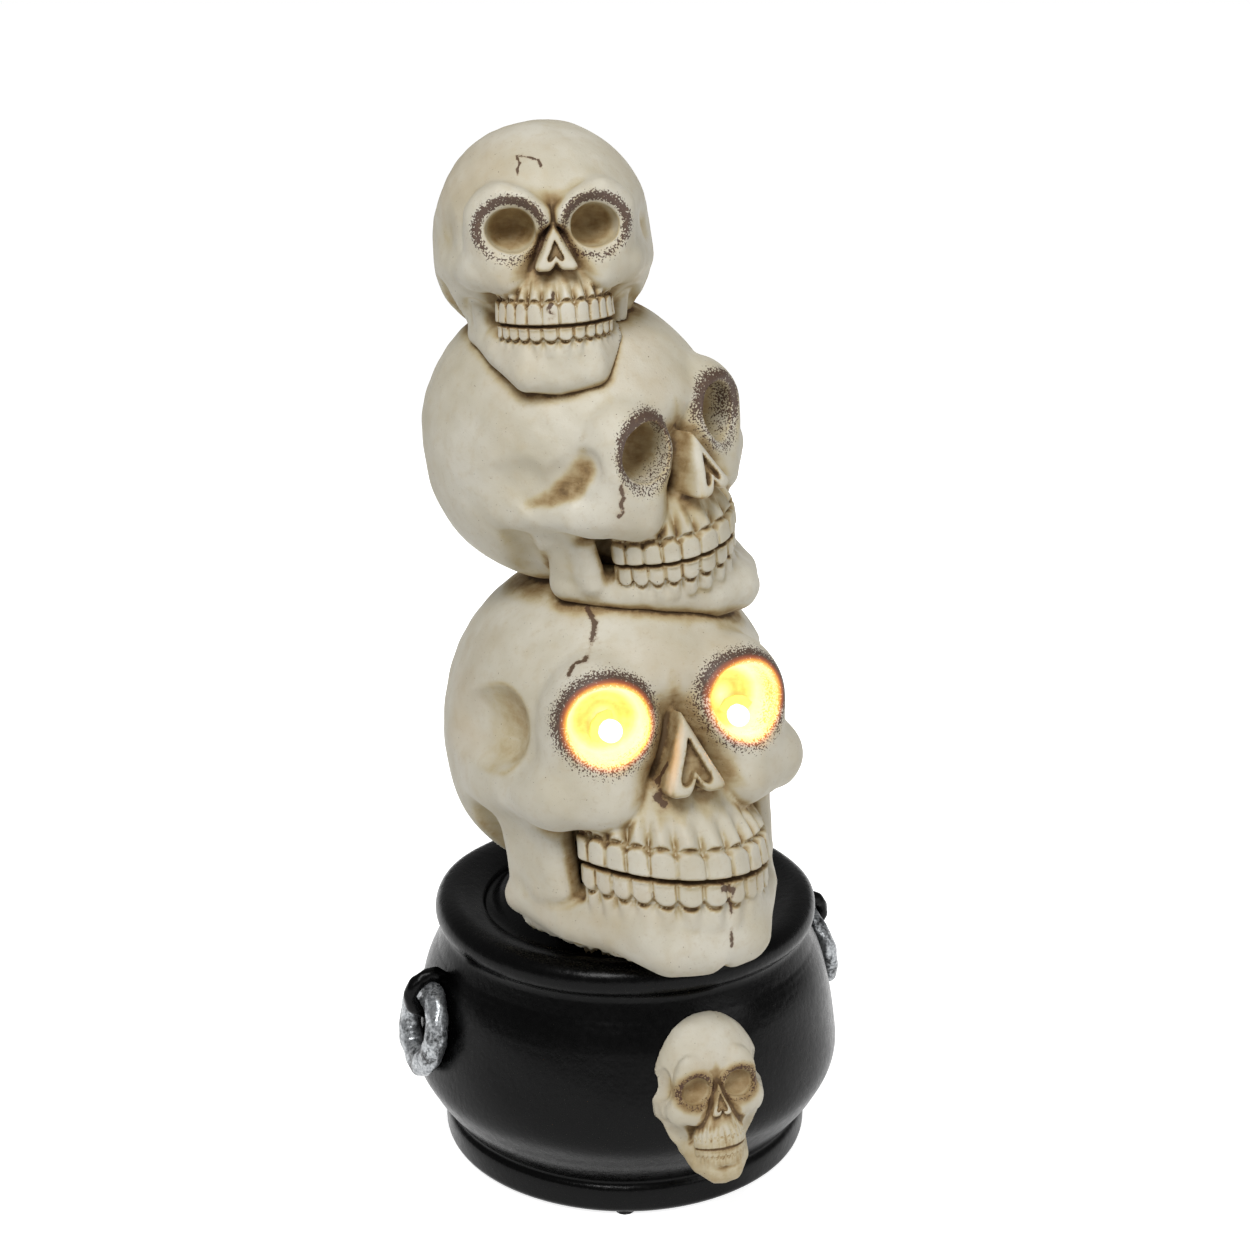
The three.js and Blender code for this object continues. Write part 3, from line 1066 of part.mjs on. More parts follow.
function addBoard() {
  const bottom = COVER_TOP + BOARD_STANDOFF + CLEARANCE;
  const boardTop = bottom + BOARD_THICK;
  const holes = [-1, 1].map((side) => rod(SCREW_RADIUS, bottom - OVERRUN, boardTop + OVERRUN)
    .translate(side * BOARD_SCREW_SPACING / 2, 0, 0));
  const board = block([-BOARD_LENGTH / 2, -BOARD_WIDTH / 2, bottom],
    [BOARD_LENGTH / 2, BOARD_WIDTH / 2, boardTop]);
  mesh('timer_board', cut(board, ...holes), BOARD_GREEN).position.y = BOARD_PLACE_Y;
  const chip = block([-CHIP_LENGTH / 2, -CHIP_WIDTH / 2, boardTop + CLEARANCE],
    [CHIP_LENGTH / 2, CHIP_WIDTH / 2, boardTop + CLEARANCE + CHIP_THICK]);
  mesh('timer_chip', chip, DARK_PLASTIC).position.y = BOARD_PLACE_Y - BOARD_WIDTH / 2 + CHIP_WIDTH;
  const headThick = SCREW_HEAD_THICK / 2;
  [-1, 1].forEach((side, i) => {
    const screw = slottedScrew(SCREW_RADIUS / 2, STANDOFF_RADIUS, headThick, BOARD_STANDOFF);
    const piece = mesh(`board_screw_${i + 1}`, screw, STEEL);
    piece.rotation.x = Math.PI;
    piece.position.set(side * BOARD_SCREW_SPACING / 2, BOARD_PLACE_Y, boardTop + CLEARANCE + headThick);
  });
}

addSkulls();
addJoinTubes();
addCauldron();
addBrew();
addMedallion();
addRings();
addEyes();
addCover();
addBatteryBox();
addDoor();
addSwitch();
addBoard();
decoration.position.y = CENTRE_SHIFT;

export default decoration;
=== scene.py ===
"""Looks of the halloween skull decoration: painted skulls, cauldron, rings and lit eyes round the CAD model."""

import json
import math
from functools import reduce
from itertools import product

import bpy
import numpy as np
from mathutils import Matrix, Vector


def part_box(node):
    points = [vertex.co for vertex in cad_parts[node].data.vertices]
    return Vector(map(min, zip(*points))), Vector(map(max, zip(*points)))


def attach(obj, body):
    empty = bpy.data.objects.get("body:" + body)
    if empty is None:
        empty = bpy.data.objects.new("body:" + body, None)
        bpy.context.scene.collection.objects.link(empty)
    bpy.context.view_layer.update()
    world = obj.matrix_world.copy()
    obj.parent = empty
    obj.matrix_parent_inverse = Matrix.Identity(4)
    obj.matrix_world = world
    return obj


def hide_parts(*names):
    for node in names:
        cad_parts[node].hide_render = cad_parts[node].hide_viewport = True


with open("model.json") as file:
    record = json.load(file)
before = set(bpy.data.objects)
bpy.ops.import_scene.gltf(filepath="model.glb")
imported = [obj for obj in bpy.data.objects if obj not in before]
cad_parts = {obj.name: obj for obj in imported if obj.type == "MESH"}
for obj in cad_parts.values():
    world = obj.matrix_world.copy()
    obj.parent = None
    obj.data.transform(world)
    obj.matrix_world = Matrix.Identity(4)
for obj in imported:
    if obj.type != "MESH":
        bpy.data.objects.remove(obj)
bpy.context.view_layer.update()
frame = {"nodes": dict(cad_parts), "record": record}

MM = 0.001

# The cauldron stands on this axis of the row frame, and every place below is measured from it, in millimetres
low_corner, high_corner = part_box("cauldron_body")
AXIS = np.array([(low_corner.x + high_corner.x) / 2, (low_corner.y + high_corner.y) / 2, 0]) / MM

# Camera, from the photograph
CAMERA_PLACE = (0, -700, 426)
CAMERA_TILT = 17.6
FOCAL_PIXELS = 2004
PHOTO_PIXELS = 1250
SENSOR_WIDTH = 36

# Skulls: half width of the cranium, its centre, and its yaw, pitch and roll in degrees
UNIT_SHARE = 1 / 50
LOWER = {"half_width": 59, "place": (-4, -12, 176), "turn": (23, -8.2, -1.9)}
MIDDLE = {"half_width": 48.4, "place": (-16.8, -12, 279.5), "turn": (50, 2.2, -12)}
TOP = {"half_width": 36.3, "place": (-27.6, -18, 348.6), "turn": (7.4, -1.4, -2.6)}
SKULL_BASE_LEVEL = 97.5
SEAM = 0.4

# The form that all skulls share, in units of a fiftieth of the half width: -Y is the face and +Z the crown
CRANIUM = ((0, 3, 0), (50, 57, 50))
BASE_BULGE = ((0, 5, -12), (50, 50, 43))
FACE_TOP = (-54, 25)
FACE_SLOPE = 0.52
FACE_STEEP = 0.92
ORBIT = ((20, -38, 5), (18.5, 17.5, 21.5))
CHEEK_HOLLOW = ((40, -25, -40), (15, 14, 15))
NECK = ((0, -5, -58), (25, 28, 21))
CORE = ((0, -10, -36), (23, 32, 19))
TOOTH_EDGES = (0, 15.5, 29.5, 41.5, 53, 64, 75, 86)
TOOTH_SPAN = (66, 80)
LOWER_TOOTH_SHIFT = 2
LOWER_TOOTH_CLOSER = 1.08
TOOTH_HEIGHT = 1.9
ROOT_HEIGHT = 1.9
ROOT_GROOVE = 1.5
MOUTH_GROOVE = 0.9
GUM_GROOVE = 0.7
JAW_BACK = 7

# How widely each form runs into the rest
BLEND = {
    "bulge": 8, "face": 5, "ear": 5, "hollow": 3, "cheek_arch": 3.5, "cheek": 7, "dent": 1.6, "neck": 5,
    "plinth": 1.2, "cleft": 4, "ledge": 4, "branches": 7, "ramus": 2.5, "core": 3, "lower_jaw": 2,
    "upper_arch": 4, "lower_arch": 3, "arch_back": 5, "nose_mass": 3, "nose_front": 3, "nose_outline": 3,
    "nose": 1.4, "upper_jaw": 1.3, "rim": 3.5, "nose_hole": 1.0,
}


def both(*nodes):
    """A chain of (x, y, z, radius) with its other half, mirrored."""
    return tuple((-x, y, z, radius) for x, y, z, radius in nodes[:0:-1]) + nodes


# A skull's own sizes. A limb is (start, end, start radius, end radius), and tilt is the shift, turn and bend of
# the mouth's line. The other forms say where they differ from this one
PLAIN = {
    "temple": ((53, -24, 7), (73, 6, 5), 16, 20), "temple_edge": 1.4, "brow": None, "dent": None, "neck": False,
    "arch": (31, 33), "arch_y": -27, "mouth": -37.2, "tilt": (0, 0, 0), "tooth": 1, "root": 12,
    "upper_gum": 9.2, "lower_gum": 8.3, "upper_top": -10, "lean": 0.06, "narrow": 0.32,
    "cheek": ((21, -43, -15), (33, -37, -12.5), 10.5, 10.5),
    "cheek_arch": ((33, -37, -12.5, 10.5), (40, -22, -13.5, 8), (44, -8, -15, 6.3), (45, 4, -17, 4.5)),
    "ear": ((48, -5, -23), (36, 1, -45), 5, 6.5), "plinth": None, "cleft": None,
    "nose": dict(apex=8.5, base=-14.5, half=9.6, front=(-53.5, -61.5), inset=2.8, drop=4, depth=3.2),
    "eye": (21, -47, 7.8), "eye_radii": (11.8, 8.5, 11.2), "eye_edge": 1.8, "eye_turn": 14,
    "rim_radii": (15.2, 9.5, 14.4), "rim_out": 10.5, "spray": (1.12, 0.46),
    "jaw": ((-37, -8, -50, 6.5), (-29.5, -27, -54, 7), (-19.4, -41, -54.6, 8.5), (-8, -49.5, -60.5, 9.5),
            (3.7, -50, -62, 9.5), (15.3, -47, -62, 9.3), (28.5, -31, -54, 7.2), (37, -8, -50, 6.5)),
    "ramus": (((36.5, -11, -48), (37.8, -10.5, -22), 5.6, 5.4), ((34.5, -20, -46), (35.8, -19, -24), 5.2, 5.2),
              ((31.5, -27.5, -44), (32.5, -27, -26), 5, 5)),
    "ledge": both((0, -50.5, -52.5, 8), (14, -47.5, -52, 8), (31, -15, -52, 6)),
}
LOWER_FORM = dict(
    PLAIN, neck=True, tilt=(-3, -0.15, 0.0022), plinth=((-33, -10, -57), (-13, -40, -63.5), 5.5, 4), cleft=(6, 1.0),
)
UPPER_TEMPLE = ((60, -24, 4), (74, 6, 2), 17, 20)
MIDDLE_FORM = dict(
    PLAIN, temple=UPPER_TEMPLE, arch=(30, 33), mouth=-33.4,
    dent=((46, -38.5, 9), (51, -20, -3.5), 11.3, 5.6), ear=((48, -10, -22), (40, -7, -40), 5, 6),
    cheek=((21, -43, -15), (33, -38, -10), 10.5, 9),
    cheek_arch=((33, -38, -10, 9), (40, -32, -9.3, 7), (44, -18, -10.8, 5.6), (46, -4, -12.5, 4.5)),
    nose=dict(PLAIN["nose"], apex=9, base=-12, half=9.2, front=(-55, -64), inset=3), eye=(19.5, -47, 8.5),
    eye_radii=(10, 13, 11), rim_radii=(14, 9, 16),
    jaw=((-33.5, -18.5, -43.5, 6), (-29, -28, -45, 6.3), (-22, -38, -46.5, 7), (-10, -47, -50.5, 8),
         (3, -51.5, -55.5, 9), (16, -53, -57.5, 9.5), (26, -46, -57.5, 8.5), (33, -28, -50, 7),
         (37, -12, -45, 6.5)),
    ramus=(((34.5, -18.5, -42), (36.5, -19.5, -22), 5.3, 4.6), ((32.5, -29.5, -40), (34.2, -28.5, -25), 4.8, 4.2)),
    ledge=((-31, -18, -41, 5.5), (-15, -46, -47.5, 6.5), (0, -49.5, -50.5, 7), (15, -49.5, -51, 7.5),
           (31, -20, -45, 6)),
)
TOP_FORM = dict(
    PLAIN, temple=UPPER_TEMPLE, temple_edge=5, arch=(27.5, 32), mouth=-36, upper_gum=11, lower_gum=7.2,
    spray=(1.3, 0.5),
    nose=dict(PLAIN["nose"], apex=9, base=-12, half=10.2, front=(-54.5, -61.5), inset=3.6, drop=3),
    eye=(18.2, -47, 5.8), eye_radii=(11, 13, 9.8), rim_radii=(15.6, 9.5, 14.6), eye_turn=8,
    cheek=((20, -43, -14.5), (31, -36, -11.5), 10, 9.3),
    cheek_arch=((31, -36, -11.5, 9.3), (38.5, -22, -12.5, 7.2), (42.5, -8, -14, 6), (44, 4, -16, 4.5)),
    jaw=both((0, -49.5, -59, 9), (14, -48.5, -57.5, 9), (24, -31, -50, 8), (31.5, -10, -44, 6.5)),
    ramus=(((31.5, -8, -44), (33.5, -7, -20), 6, 5.5), ((29.5, -19, -43), (32, -18, -22), 5, 5)),
    ledge=both((0, -50.5, -50, 8), (13, -47, -49.5, 8), (27, -15, -43, 6)),
    brow=(((5, -53.5, 11), (12, -52.5, 18.5), (22, -49, 21.5), (33, -42, 14)), (4.6, 3.4, 2.6, 2)), brow_edge=9,
)
# The brown wash and painted shade in the middle skull's temples, as places and radii
TEMPLE_DENT_SHADE_AND_WASH = (
    (47.5, -18, -5.5, 1.2), (45, -26, -2.5, 3.4), (41, -33, 1.5, 5), (38.5, -36.5, 7, 4.6), (38, -36, 12, 2),
)
MEDALLION_FORM = dict(
    PLAIN, arch=(25, 38), mouth=-42, tooth=0.4, upper_gum=8, lower_gum=6.5, upper_top=-14,
    eye=(20, -46, 0), eye_radii=(13.5, 15, 10), eye_turn=0, rim_radii=(18, 11, 13),
    nose=dict(PLAIN["nose"], apex=3, base=-19, half=9.5, inset=2.6),
    jaw=both((0, -50, -60, 9.5), (8, -50, -59, 9.5), (19, -34, -54, 7.8), (24, -10, -46, 6.5)),
    ramus=(((26, -6, -44), (34, -2, -22), 6, 6),),
    ledge=both((0, -46, -50, 7.5), (10, -45, -49, 7.5), (22, -12, -44, 6.5)),
)
# Cracks in the paint, from the skull's centre in units, and their half width
CRACK_WIDEN = 1.55
CRACKS = {
    "skull_lower": (
        (((-16.8, -29, 38), (-16.7, -34, 34), (-19, -36.5, 31), (-22.8, -40.5, 27.4), (-24.7, -42.7, 25.8),
          (-27, -41, 25.6), (-29.5, -43, 22.7)), 1.15),
        (((-19, -36.5, 31), (-18, -38, 31), (-18.5, -41.2, 28)), 0.8),
        (((7.2, -58, -47.5), (8.2, -58, -49.4), (7.4, -56.5, -55.3), (6.8, -59, -61)), 0.9),
        (((4.2, -60, -39.5), (4.8, -60, -43), (8.4, -59, -44.5), (7.2, -58, -47.5)), 1.3),
        (((-6, -52, -6.3), (-8.2, -49.5, -10.7), (-7, -52.6, -13), (-9.6, -51.5, -15), (-8, -53, -17.5)), 1.5),
    ),
    "skull_middle": (
        (((-34, -49.3, 1.5), (-33.2, -49, -3), (-34.4, -48.6, -5.4), (-33.4, -48.4, -8),
          (-35.2, -47.8, -9.4)), 1.0),
        (((-44.3, -23, 4.8), (-46, -21.5, -3.5)), 0.55),
    ),
    "medallion": (
        (((-6, -50, 33), (-3, -52, 26), (-6, -53, 22), (-2, -54, 17), (-4, -54, 12)), 0.9),
        (((-3, -52, 26), (2, -52, 22), (4, -53, 19)), 0.7),
    ),
    "skull_top": (
        (((-12.7, -33, 36.3), (-8.5, -35.5, 36), (-3.5, -38, 34.3), (-2.6, -40.6, 31.8)), 0.75),
        (((-12.7, -33, 36.3), (-11.5, -37, 33.5), (-12.9, -39.3, 31), (-13.5, -45, 27)), 0.75),
        (((-1.6, -58, -21.5), (-2.6, -60, -25), (-5.4, -61.1, -28.4), (-2.5, -61.7, -31.2),
          (-4.5, -61.5, -32.5)), 1.4),
    ),
}

# The grids that the skulls are netted on, as zones of (start, end, step) in units, finer on the face
RULES = (
    ((-60, -34, 1.2), (-34, 34, 0.68), (34, 60, 1.2)),
    ((-78, -20, 0.8), (-20, 70, 2)),
    ((-90, -74, 2), (-74, -52, 0.95), (-52, -22, 0.6), (-22, 22, 0.85), (22, 60, 1.5)),
)
MEDALLION_RULES = (((-58, 58, 1.0),), ((-78, 4, 1.4),), ((-84, -24, 0.9), (-24, 56, 1.2)))
OTHER_AXES = ([1, 2], [0, 2], [0, 1])
BLOCK = 5
NEAR = 1.5
SETTLE_STEPS = 2
SETTLE_LIMIT = 0.5
SETTLE_REACH = 0.25
FACING_REACH = 0.5
FAR_INSIDE = -9.0

# The brown wash and painted shade gather where a point is sheltered: how far off that is felt, and the gain, loss
# and most of the paint
CREASE_REACHES = (0.7, 1.4, 2.2)
CREASE_RULE = (1.55, 0.27, 0.9)
HOLLOW_REACHES = (4, 8, 14)
HOLLOW_RULE = (1.25, 0.27, 0.62)
MEDALLION_CREASE_REACH = 3
MEDALLION_CREASE_RULE = (1.3, 0.25, 0.8)
MEDALLION_HOLLOW_REACH = 10
MEDALLION_HOLLOW_RULE = (1.4, 0.3, 0.8)
SOCKET_WASH_AND_SHADE = 0.62
DENT_WASH_AND_SHADE = 0.8
TEMPLE_WASH_AND_SHADE = 0.5

# Lamps, from the skull's centre in units, the lamp's own sizes, and the glow on the socket from its middle out
LAMP_SEATS = {"left": (-17.5, -38.5, 3.5), "right": (23, -38.5, 1)}
LAMP_RADIUS = 4
LAMP_WAIST = 2.6
LAMP_FLANGE = 4.7
LAMP_FOOT = -10
LAMP_SIDES = 40
LAMP_LIGHT = {"out": -13, "energy": 0.02, "size": 0.003}
GLOW_REACHES = (0, 0.3, 0.42, 0.52, 0.62, 0.86, 0.98, 1.08, 1.2)
GLOW_SHARES = (0.95, 0.7, 0.5, 0.58, 0.52, 0.9, 0.74, 0.3, 0)

# Cauldron: radius and level
BELLY = ((68.6, 14), (77.6, 26.5), (82, 40), (77, 68), (71.2, 82), (69.4, 87))
FOOT = ((61, 0.9), (66.2, 0.9), (68.6, 1.5), (70, 3), (70.3, 5), (70.3, 9.5), (69.9, 11.6), (68.7, 13))
LIP = (
    (69.6, 89.2), (71.4, 90.6), (72.3, 93), (72.2, 95.6), (71, 98), (68.6, 99.6), (65, 100), (61, 99), (57, 97.6),
    (54, 96),
)
SEAT = ((54, 84), (50, 84))
INSIDE = ((50, 78), (62, 74), (71, 66), (76, 40), (68, 24), (56, 12.9), (56, 7.9), (61, 7.9))
CAULDRON_SIDES = 192
WALL_STEP = 1.2
EDGE_STEP = 0.8
BREW = (
    (53.7, 94.5), (50.5, 95.2), (47.5, 98), (45, 98.8), (42, 98.2), (39, 96.8), (36, 96.8), (31, 99.5), (24, 102.6),
    (14, 103),
)
BREW_SEAT = 84.3

# The ragged rim where the lowest skull was set in the filling, as shares of its width and height from inside out
FLASH_ROWS = ((-1.5, 0.9), (0.45, 1.0), (0.85, 0.75), (1.0, 0.2), (0.9, -0.5))
FLASH_STEPS = 720
FLASH_REACHES = (10, 62, 160)
FLASH_WAVES = (5, 13, 29, 47, 83, 131)
FLASH_WIDTH = 1.1
FLASH_LIMITS = (0.05, 3.2)
FLASH_LIFT = 0.5

RING_RADIUS = 13
RING_BAR = 4
RING_WIDEN = 1.3
RING_SIDES = (96, 28)
RING_LEVEL = 59
RING_AZIMUTHS = {"left": -65, "right": 115}
LUG_RADIUS = 7.2
LUG_BAR = 2.7
LUG_SIDES = (64, 20)
MEDALLION = {"scale": (20.5, 11, 24.8), "level": 57.5, "azimuth": 22, "sink": 1}
MEDALLION_GAP = 0.2

# Studio, in metres and watts: each light's place, power and size
FLOOR_HALF = 60
FLOOR_GLOW = 0.84
WORLD_FILL = 0.27
LIGHT_AIM = Vector((0, 0, 0.2))
LIGHTS = {
    "key": ((-0.22, -0.8, 1.15), 11.2, 0.45), "fill": ((0.8, -0.55, 0.5), 2, 0.5),
    "back": ((0.25, 1.1, 0.55), 6.5, 0.7),
}


def srgb(red, green, blue):
    """A colour as Blender's linear numbers."""
    shares = [c / 255 for c in (red, green, blue)]
    return tuple(s / 12.92 if s <= 0.04045 else ((s + 0.055) / 1.055) ** 2.4 for s in shares) + (1.0,)


class Nodes:
    """The node tree of a material or a world, built node by node."""

    def __init__(self, owner, shader):
        owner.use_nodes = True
        self.tree = owner.node_tree
        self.shader = self.tree.nodes[shader]

    def node(self, kind, **settings):
        node = self.tree.nodes.new(kind)
        for name, value in settings.items():
            setattr(node, name, value)
        return node

    def put(self, socket, value):
        if isinstance(value, bpy.types.NodeSocket):
            self.tree.links.new(value, socket)
        else:
            socket.default_value = value

    def feed(self, node, **values):
        """Puts each value into the node's input of that name."""
        for name, value in values.items():
            self.put(node.inputs[name.replace("_", " ")], value)
        return node

    def set(self, **values):
        self.feed(self.shader, **values)

    def math(self, operation, first, second=0.0, clamp=False):
        node = self.node("ShaderNodeMath", operation=operation, use_clamp=clamp)
        self.put(node.inputs[0], first)
        self.put(node.inputs[1], second)
        return node.outputs[0]

    def between(self, value, low, high, to_low=0.0, to_high=1.0):
        """value from low..high taken to to_low..to_high, and held at the ends."""
        node = self.node("ShaderNodeMapRange")
        self.feed(node, Value=value, From_Min=low, From_Max=high, To_Min=to_low, To_Max=to_high)
        return node.outputs["Result"]


class Paint(Nodes):
    """A procedural material."""

    def __init__(self, name):
        self.material = bpy.data.materials.new(name)
        super().__init__(self.material, "Principled BSDF")
        self.coordinates = self.node("ShaderNodeTexCoord").outputs["Object"]

    def attribute(self, name):
        return self.node("ShaderNodeAttribute", attribute_name=name).outputs["Fac"]

    def noise(self, scale, detail=3, roughness=0.6, stretch=(1, 1, 1), distortion=0.0):
        place = self.feed(self.node("ShaderNodeMapping"), Vector=self.coordinates, Scale=stretch).outputs["Vector"]
        node = self.node("ShaderNodeTexNoise")
        self.feed(node, Vector=place, Scale=scale, Detail=detail, Roughness=roughness, Distortion=distortion)
        return node.outputs["Fac"]

    def mix(self, share, first, second, blend="MIX"):
        node = self.feed(self.node("ShaderNodeMix", data_type="RGBA", blend_type=blend), Factor=share)
        self.put(node.inputs[6], first)
        self.put(node.inputs[7], second)
        return node.outputs[2]

    def ramp(self, share, stops):
        node = self.feed(self.node("ShaderNodeValToRGB"), Fac=share)
        elements = node.color_ramp.elements
        while len(elements) < len(stops):
            elements.new(0.5)
        for element, (place, colour) in zip(elements, stops):
            element.position = place
            element.color = srgb(*colour)
        return node.outputs["Color"]

    def bump(self, height, strength, distance):
        node = self.feed(self.node("ShaderNodeBump"), Height=height, Strength=strength, Distance=distance)
        self.set(Normal=node.outputs["Normal"])
        return self


# Materials


def bone_paint():
    """Cream paint with a brown wash and painted shade in the hollows, speckle round the sockets, and the lamps'
    light painted as glow.
    """
    p = Paint("painted_bone")
    broad = p.noise(38, 3, 0.55)
    fine = p.noise(260, 4)
    grain = p.noise(1600, 1, 0.5)
    streaks = p.noise(90, stretch=(1, 1, 3.2), distortion=0.6)
    cream = p.mix(p.between(broad, 0.35, 0.7), srgb(203, 198, 183), srgb(184, 176, 154))
    cream = p.mix(p.between(fine, 0.5, 0.78, 0, 0.45), cream, srgb(184, 170, 140))
    cream = p.mix(p.between(p.noise(16, 4, 0.65), 0.54, 0.72, 0, 0.42), cream, srgb(178, 158, 122))
    uneven = p.between(p.math("ADD", streaks, fine), 0.7, 1.3, 0.6, 1.35)
    # The brown wash and painted shade of the creases and hollows darken the cream
    wash = p.math("MULTIPLY", p.attribute("wash"), uneven)
    crease = p.attribute("crease")
    total = p.math("ADD", wash, p.math("MULTIPLY", crease, p.between(fine, 0.3, 0.7, 0.4, 0.85)), clamp=True)
    washed_and_shaded = p.ramp(total, (
        (0.0, (255, 255, 255)), (0.2, (243, 235, 214)), (0.45, (214, 194, 158)), (0.75, (176, 149, 108)),
        (1.0, (124, 99, 68)),
    ))
    colour = p.mix(1.0, cream, washed_and_shaded, "MULTIPLY")
    dots = p.between(p.math("ADD", grain, p.math("MULTIPLY", p.attribute("speckle"), 0.5)), 0.75, 0.81)
    colour = p.mix(p.math("MULTIPLY", dots, 0.93), colour, srgb(62, 32, 16))
    split = p.math("ADD", p.attribute("crack"), p.between(p.noise(620), 0.3, 0.7, -0.3, 0.3))
    colour = p.mix(p.between(split, 0.15, 0.5, 0, 0.35), colour, srgb(150, 122, 84))
    colour = p.mix(p.between(split, 0.5, 0.68, 0, 0.92), colour, srgb(74, 48, 26))
    p.set(Base_Color=colour, Roughness=p.between(total, 0, 1, 0.56, 0.78))
    light = p.ramp(p.attribute("glow"), (
        (0.0, (0, 0, 0)), (0.2, (150, 62, 8)), (0.45, (255, 170, 52)), (0.7, (255, 218, 120)),
        (1.0, (255, 247, 205)),
    ))
    p.set(Emission_Color=light, Emission_Strength=1.0)
    height = p.math("ADD", fine, p.math("MULTIPLY", grain, 0.35))
    height = p.math("SUBTRACT", height, p.math("MULTIPLY", p.between(split, 0.4, 0.8), 1.6))
    return p.bump(height, 0.25, 0.0006).material


def black_paint():
    """Satin-gloss black over an uneven casting."""
    p = Paint("black_paint")
    broad = p.noise(24, 3, 0.5)
    fine = p.noise(420, 4)
    dust = p.noise(60, 5, 0.7)
    p.set(Base_Color=p.mix(p.between(dust, 0.5, 0.8, 0, 0.5), srgb(2, 2, 2), srgb(8, 8, 8)))
    p.set(Roughness=p.between(p.math("ADD", broad, fine), 0.7, 1.3, 0.2, 0.36), Specular_IOR_Level=0.12)
    return p.bump(p.math("ADD", p.math("MULTIPLY", broad, 4.0), fine), 0.2, 0.0007).material


def silver_paint():
    """Silver brushed over black, patchy."""
    p = Paint("silver_paint")
    patch = p.noise(120, 4)
    fine = p.noise(900)
    cover = p.between(p.math("ADD", patch, p.math("MULTIPLY", fine, 0.35)), 0.5, 0.66)
    silver = p.mix(p.between(fine, 0.35, 0.65), srgb(118, 121, 124), srgb(186, 189, 191))
    p.set(Base_Color=p.mix(cover, srgb(26, 27, 28), silver), Metallic=p.math("MULTIPLY", cover, 0.75))
    p.set(Roughness=p.between(patch, 0.3, 0.7, 0.42, 0.24))
    return p.bump(p.math("ADD", patch, p.math("MULTIPLY", fine, 0.4)), 0.5, 0.0008).material


def lamp_glass():
    """The lit amber dome."""
    p = Paint("amber_lamp")
    p.set(Base_Color=srgb(255, 224, 150), Roughness=0.15)
    ripple = p.noise(300, 2, 0.5)
    p.set(Emission_Color=p.mix(p.between(ripple, 0.3, 0.7), srgb(255, 250, 214), srgb(255, 255, 236)))
    p.set(Emission_Strength=1.6)
    return p.material


def lit_holder():
    """A lamp's holder, flooded by its light."""
    p = Paint("led_holder_lit")
    grain = p.noise(500)
    p.set(Base_Color=p.mix(grain, srgb(206, 160, 84), srgb(226, 184, 108)), Roughness=0.6)
    p.set(Emission_Color=p.mix(grain, srgb(232, 176, 74), srgb(248, 202, 104)), Emission_Strength=0.8)
    return p.bump(grain, 0.2, 0.0003).material


def moulded(name, first, second, roughness, scale=700):
    """Plastic with a fine moulded grain."""
    p = Paint(name)
    grain = p.noise(scale)
    broad = p.noise(30, 2, 0.5)
    p.set(Base_Color=p.mix(broad, first, second))
    p.set(Roughness=p.between(grain, 0.3, 0.7, roughness - 0.07, roughness + 0.1))
    return p.bump(grain, 0.2, 0.0003).material


def plated_steel():
    p = Paint("steel")
    scuffs = p.noise(800, stretch=(1, 6, 1))
    p.set(Base_Color=p.mix(p.noise(60, 3, 0.5), srgb(182, 184, 187), srgb(205, 206, 207)), Metallic=1.0)
    p.set(Roughness=p.between(scuffs, 0.3, 0.7, 0.2, 0.4))
    return p.bump(scuffs, 0.1, 0.0002).material


def board_lacquer():
    p = Paint("board_green")
    lines = p.noise(500, 1, 0.3, stretch=(0.2, 1, 1))
    p.set(Base_Color=p.mix(p.between(lines, 0.46, 0.54), srgb(28, 92, 52), srgb(38, 112, 66)), Roughness=0.38)
    return p.bump(lines, 0.15, 0.0002).material


LOOKS = {
    "painted_bone": bone_paint(),
    "black_paint": black_paint(),
    "silver_paint": silver_paint(),
    "amber_lamp": lamp_glass(),
    "led_holder_lit": lit_holder(),
    "dark_plastic": moulded("dark_plastic", srgb(24, 24, 26), srgb(32, 32, 34), 0.5),
    "grey_plastic": moulded("grey_plastic", srgb(58, 58, 62), srgb(66, 66, 70), 0.45),
    "steel": plated_steel(),
    "cell_skin": moulded("cell_skin", srgb(40, 92, 70), srgb(48, 104, 80), 0.32, 300),
    "board_green": board_lacquer(),
    "rubber": moulded("rubber", srgb(20, 20, 20), srgb(27, 27, 27), 0.85, 500),
    "lead_red": moulded("lead_red", srgb(132, 28, 26), srgb(146, 34, 30), 0.45, 400),
}


# Forms: depths over the coordinates p, negative inside, where s has the skull's own sizes and q is p folded


def soft_min(a, b, width):
    near = np.maximum(width - np.abs(a - b), 0) / width
    return np.minimum(a, b) - near * near * width / 4


def soft_max(a, b, width):
    return -soft_min(-a, -b, width)


def ellipsoid(p, centre, radii):
    parts = [(axis - at) / radius for axis, at, radius in zip(p, centre, radii)]
    reach = np.sqrt(sum(part * part for part in parts))
    slope = np.sqrt(sum((part / radius) ** 2 for part, radius in zip(parts, radii))) + 1e-9
    return reach * (reach - 1) / slope


def limb(p, start, end, start_radius, end_radius):
    along = [b - a for a, b in zip(start, end)]
    offset = [axis - a for axis, a in zip(p, start)]
    share = np.clip(sum(o * a for o, a in zip(offset, along)) / sum(a * a for a in along), 0, 1)
    gap = np.sqrt(sum((o - share * a) ** 2 for o, a in zip(offset, along)))
    return gap - start_radius - (end_radius - start_radius) * share


def chain(p, points, radii):
    ends = zip(points, points[1:], radii, radii[1:])
    return reduce(np.minimum, (limb(p, *end) for end in ends))


def band(p, nodes):
    return chain(p, [node[:3] for node in nodes], [node[3] for node in nodes])


def step(low, high, value):
    share = np.clip((value - low) / (high - low), 0, 1)
    return share * share * (3 - 2 * share)


def bump(value, reach):
    """1 at nothing, and 0 from reach on."""
    share = np.clip(1 - (value / reach) ** 2, 0, 1)
    return share * share


